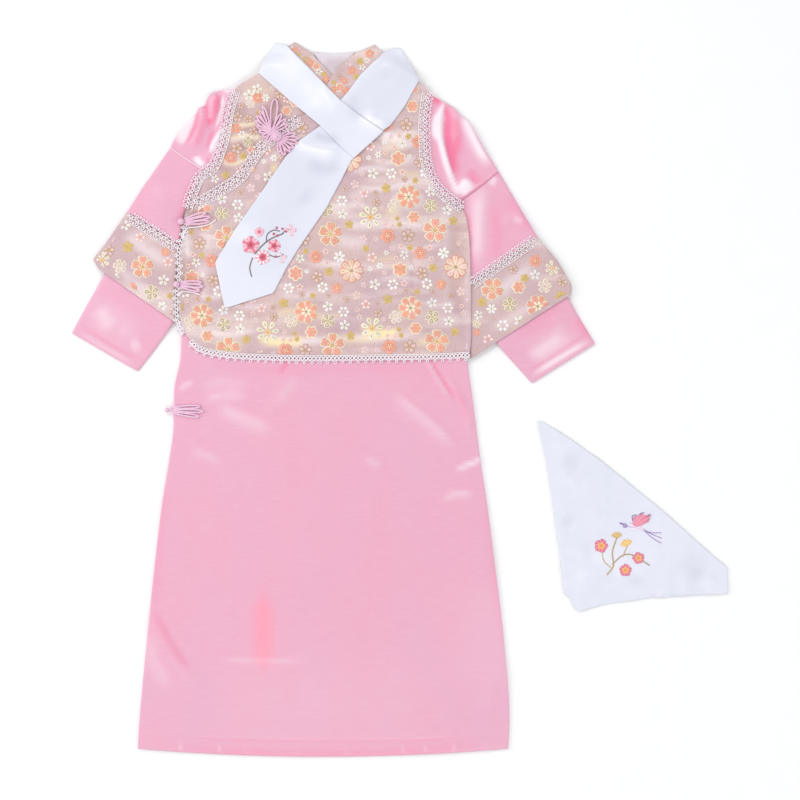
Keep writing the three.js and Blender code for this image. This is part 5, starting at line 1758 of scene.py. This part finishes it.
def lay_backs():
    """The scarf's stretch behind the neck, and the backs of the vest and the robe."""
    lay_sheet("scarf_behind_neck", SCARF_NECK, "white_satin", "scarf_neck", step=5, soft=0)
    lay_sheet("vest_back_panel", VEST_BACK, "brocade", "vest_back", step=5, smooth=True,
              folds=UNDER_ROOM, rests_on=["scarf_behind_neck"])
    shown = shown_area(VEST_BACK, 2, hidden=[SCARF_NECK])
    add_flowers("vest_back_panel", "vest_back", printed_places(REPEAT), skyline - CLOTH, shown, -1)
    lay_sheet("robe_back_panel", ROBE, "pink_satin", "robe_back", step=6, smooth=True,
              rests_on=["vest_back_panel"])


def lay_robe_front():
    """The robe's front, with finer rows at the stitched hem and across the yoke."""
    hem_rows, yoke_rows = [17, 18, 19], np.arange(634, 780, 2.4)  # up from the hem
    lay_sheet("robe_front_panel", ROBE, "pink_satin", "robe_front", step=4.8, narrow=2.1,
              smooth=True, extra=[*hem_rows, *yoke_rows], folds=upper_folds,
              looks=Looks(ROBE_PAINTED_SHADE, ROBE_PAINTED_HIGHLIGHTS, ROBE_STAIN, painted_relief_shading=0.1),
              rests_on=["robe_back_panel"])


def lay_sleeves():
    """On each side a sleeve and its cuff, and the brocade band that holds them both."""
    sleeve_looks = Looks(ROBE_PAINTED_SHADE, ROBE_PAINTED_HIGHLIGHTS, painted_relief_shading=0.1)
    cuff_looks = Looks(CUFF_PAINTED_SHADE, CUFF_PAINTED_HIGHLIGHTS, painted_relief_shading=0.12)
    band_looks = Looks((), BAND_PAINTED_HIGHLIGHTS, painted_relief_shading=0.2)
    cuff_folds = strokes(CUFF_FOLDS) + undulation * 0.7
    for side, (sleeve, band, cuff) in SLEEVES.items():
        lay_tube(f"sleeve_{side}", sleeve, "pink_satin", f"robe_sleeve_{side}",
                 bottom=[0, UNDER_ROOM], hollow=[GAP, 0.6, 2.0, BAND_HOLLOW],
                 folds=upper_folds, looks=sleeve_looks)
        lay_tube(f"cuff_{side}_satin", cuff, "pink_satin", f"cuff_{side}",
                 bottom=[1.8, 1.8, 0, 0, 0], hollow=[0.6, 0.6], folds=cuff_folds,
                 looks=cuff_looks)
        lay_tube(f"band_{side}", band, "brocade", f"sleeve_band_{side}",
                 bottom=[UNDER_ROOM, UNDER_ROOM], hollow=[BAND_HOLLOW, BAND_HOLLOW],
                 folds=undulation + creases * 0.6, looks=band_looks)


def lay_vest_fronts():
    lay_sheet("vest_front_under_panel", VEST_UNDER, "brocade", "vest_front_under", step=2.4,
              smooth=True, folds=strokes(CHEST_FOLDS) + creases + 0.4,
              looks=Looks(CHEST_PAINTED_SHADE, (), CHEST_PAINTED_GOLD_SHEEN, painted_relief_shading=0.2), rests_on=["robe_front_panel"])
    lay_sheet("vest_front_panel", VEST_FRONT, "brocade", "vest_front", step=2.4, smooth=True,
              folds=strokes(VEST_FOLDS) + undulation * 0.8 + creases + 0.5,
              looks=Looks(VEST_PAINTED_SHADE, VEST_PAINTED_HIGHLIGHTS, VEST_PAINTED_GOLD_SHEEN, painted_relief_shading=0.3),
              rests_on=["robe_front_panel", "vest_front_under_panel"])


def lay_collar():
    lay_sheet("neck_lining", COLLAR_BACK, "lining", "collar_back", step=2.5,
              looks=Looks(LINING_PAINTED_SHADE, LINING_PAINTED_HIGHLIGHTS), rests_on=["robe_front_panel"])
    lay_sheet("collar_left_strip", COLLAR_LEFT, "brocade", "collar_front_left", step=2,
              rests_on=["neck_lining"])
    lay_sheet("collar_right_strip", COLLAR_RIGHT, "brocade", "collar_front_right", step=2,
              rests_on=["neck_lining"])


def trim_vest():
    """All that is raised on the brocade: its flowers, the lace and the frogs."""
    flower_sky = blur(skyline, 1)
    lace_sky = blur(widened(skyline, 3), 2)
    frog_sky = blur(widened(skyline, 7), 3)
    add_flowers("vest_front_panel", "vest_front", printed_places(REPEAT + small_flowers()),
                flower_sky, shown_area(VEST_FRONT, 2, [SCARF_RIGHT, SCARF_TAIL, SCARF_LEFT]))
    add_flowers("vest_front_under_panel", "vest_front_under", CHEST_MOTIFS, flower_sky,
                shown_area(VEST_UNDER, 2, [VEST_FRONT]))
    under_sky = np.full(skyline.shape, UNDER_ROOM)
    for side, places in BAND_MOTIFS.items():
        band, name, node = SLEEVES[side][1], f"band_{side}", f"sleeve_band_{side}"
        add_flowers(name, node, places, flower_sky, shown_area(band, 2))
        add_flowers(name, node, printed_places(REPEAT), under_sky, shown_area(band, 4), -1)
    collar_shown = shown_area(COLLAR_LEFT, 1) + shown_area(COLLAR_RIGHT, 1)
    for side, places in COLLAR_MOTIFS.items():
        add_flowers(f"collar_{side}_strip", f"collar_front_{side}", places, flower_sky,
                    collar_shown)
    for node, (style, path) in LACE_ROUTES.items():
        add_lace(node, style, path, lace_sky)
    add_frogs(frog_sky)


def lay_scarf():
    folds = strokes([*SCARF_KNOT_FOLDS, *SCARF_NECK_FOLDS])
    looks = Looks(SCARF_PAINTED_SHADE, SCARF_PAINTED_HIGHLIGHTS, painted_relief_shading=0.08)
    lay_sheet("scarf_right_stretch", SCARF_RIGHT, "white_satin", "scarf_right", step=2.2,
              folds=folds, looks=looks, rests_on=["vest_front_panel"])
    lay_sheet("scarf_tail_stretch", SCARF_TAIL, "white_satin", "scarf_tail", step=2.2,
              folds=folds + undulation * 0.5, looks=looks, rests_on=["vest_front_panel"])
    lay_sheet("scarf_left_stretch", SCARF_LEFT, "white_satin", "scarf_left", step=2.2,
              folds=strokes(SCARF_NECK_FOLDS), looks=looks,
              rests_on=["scarf_right_stretch", "scarf_tail_stretch"])


def lay_handkerchief():
    lay_sheet("handkerchief_cloth", HANDKERCHIEF, "white_satin", "handkerchief", step=2.4, soft=0,
              folds=strokes(KERCHIEF_FOLDS) + crumple + 1.6,
              looks=Looks(KERCHIEF_PAINTED_SHADE, KERCHIEF_PAINTED_HIGHLIGHTS, painted_relief_shading=0.25))


lay_backs()
lay_robe_front()
lay_sleeves()
sew_seams()
sew_stitches()
lay_vest_fronts()
lay_collar()
trim_vest()
lay_scarf()
lay_handkerchief()
top_sky = blur(skyline, 1)
embroider_scarf(top_sky)
embroider_handkerchief(top_sky)
add_floor()


# ---------------------------------------------------------------- going over the sheets: their areas by layers, and what is sewn on each

for piece, plan, layers, rests_on in sheets:
    layers * plan.area()
    sewn_on[piece.name]
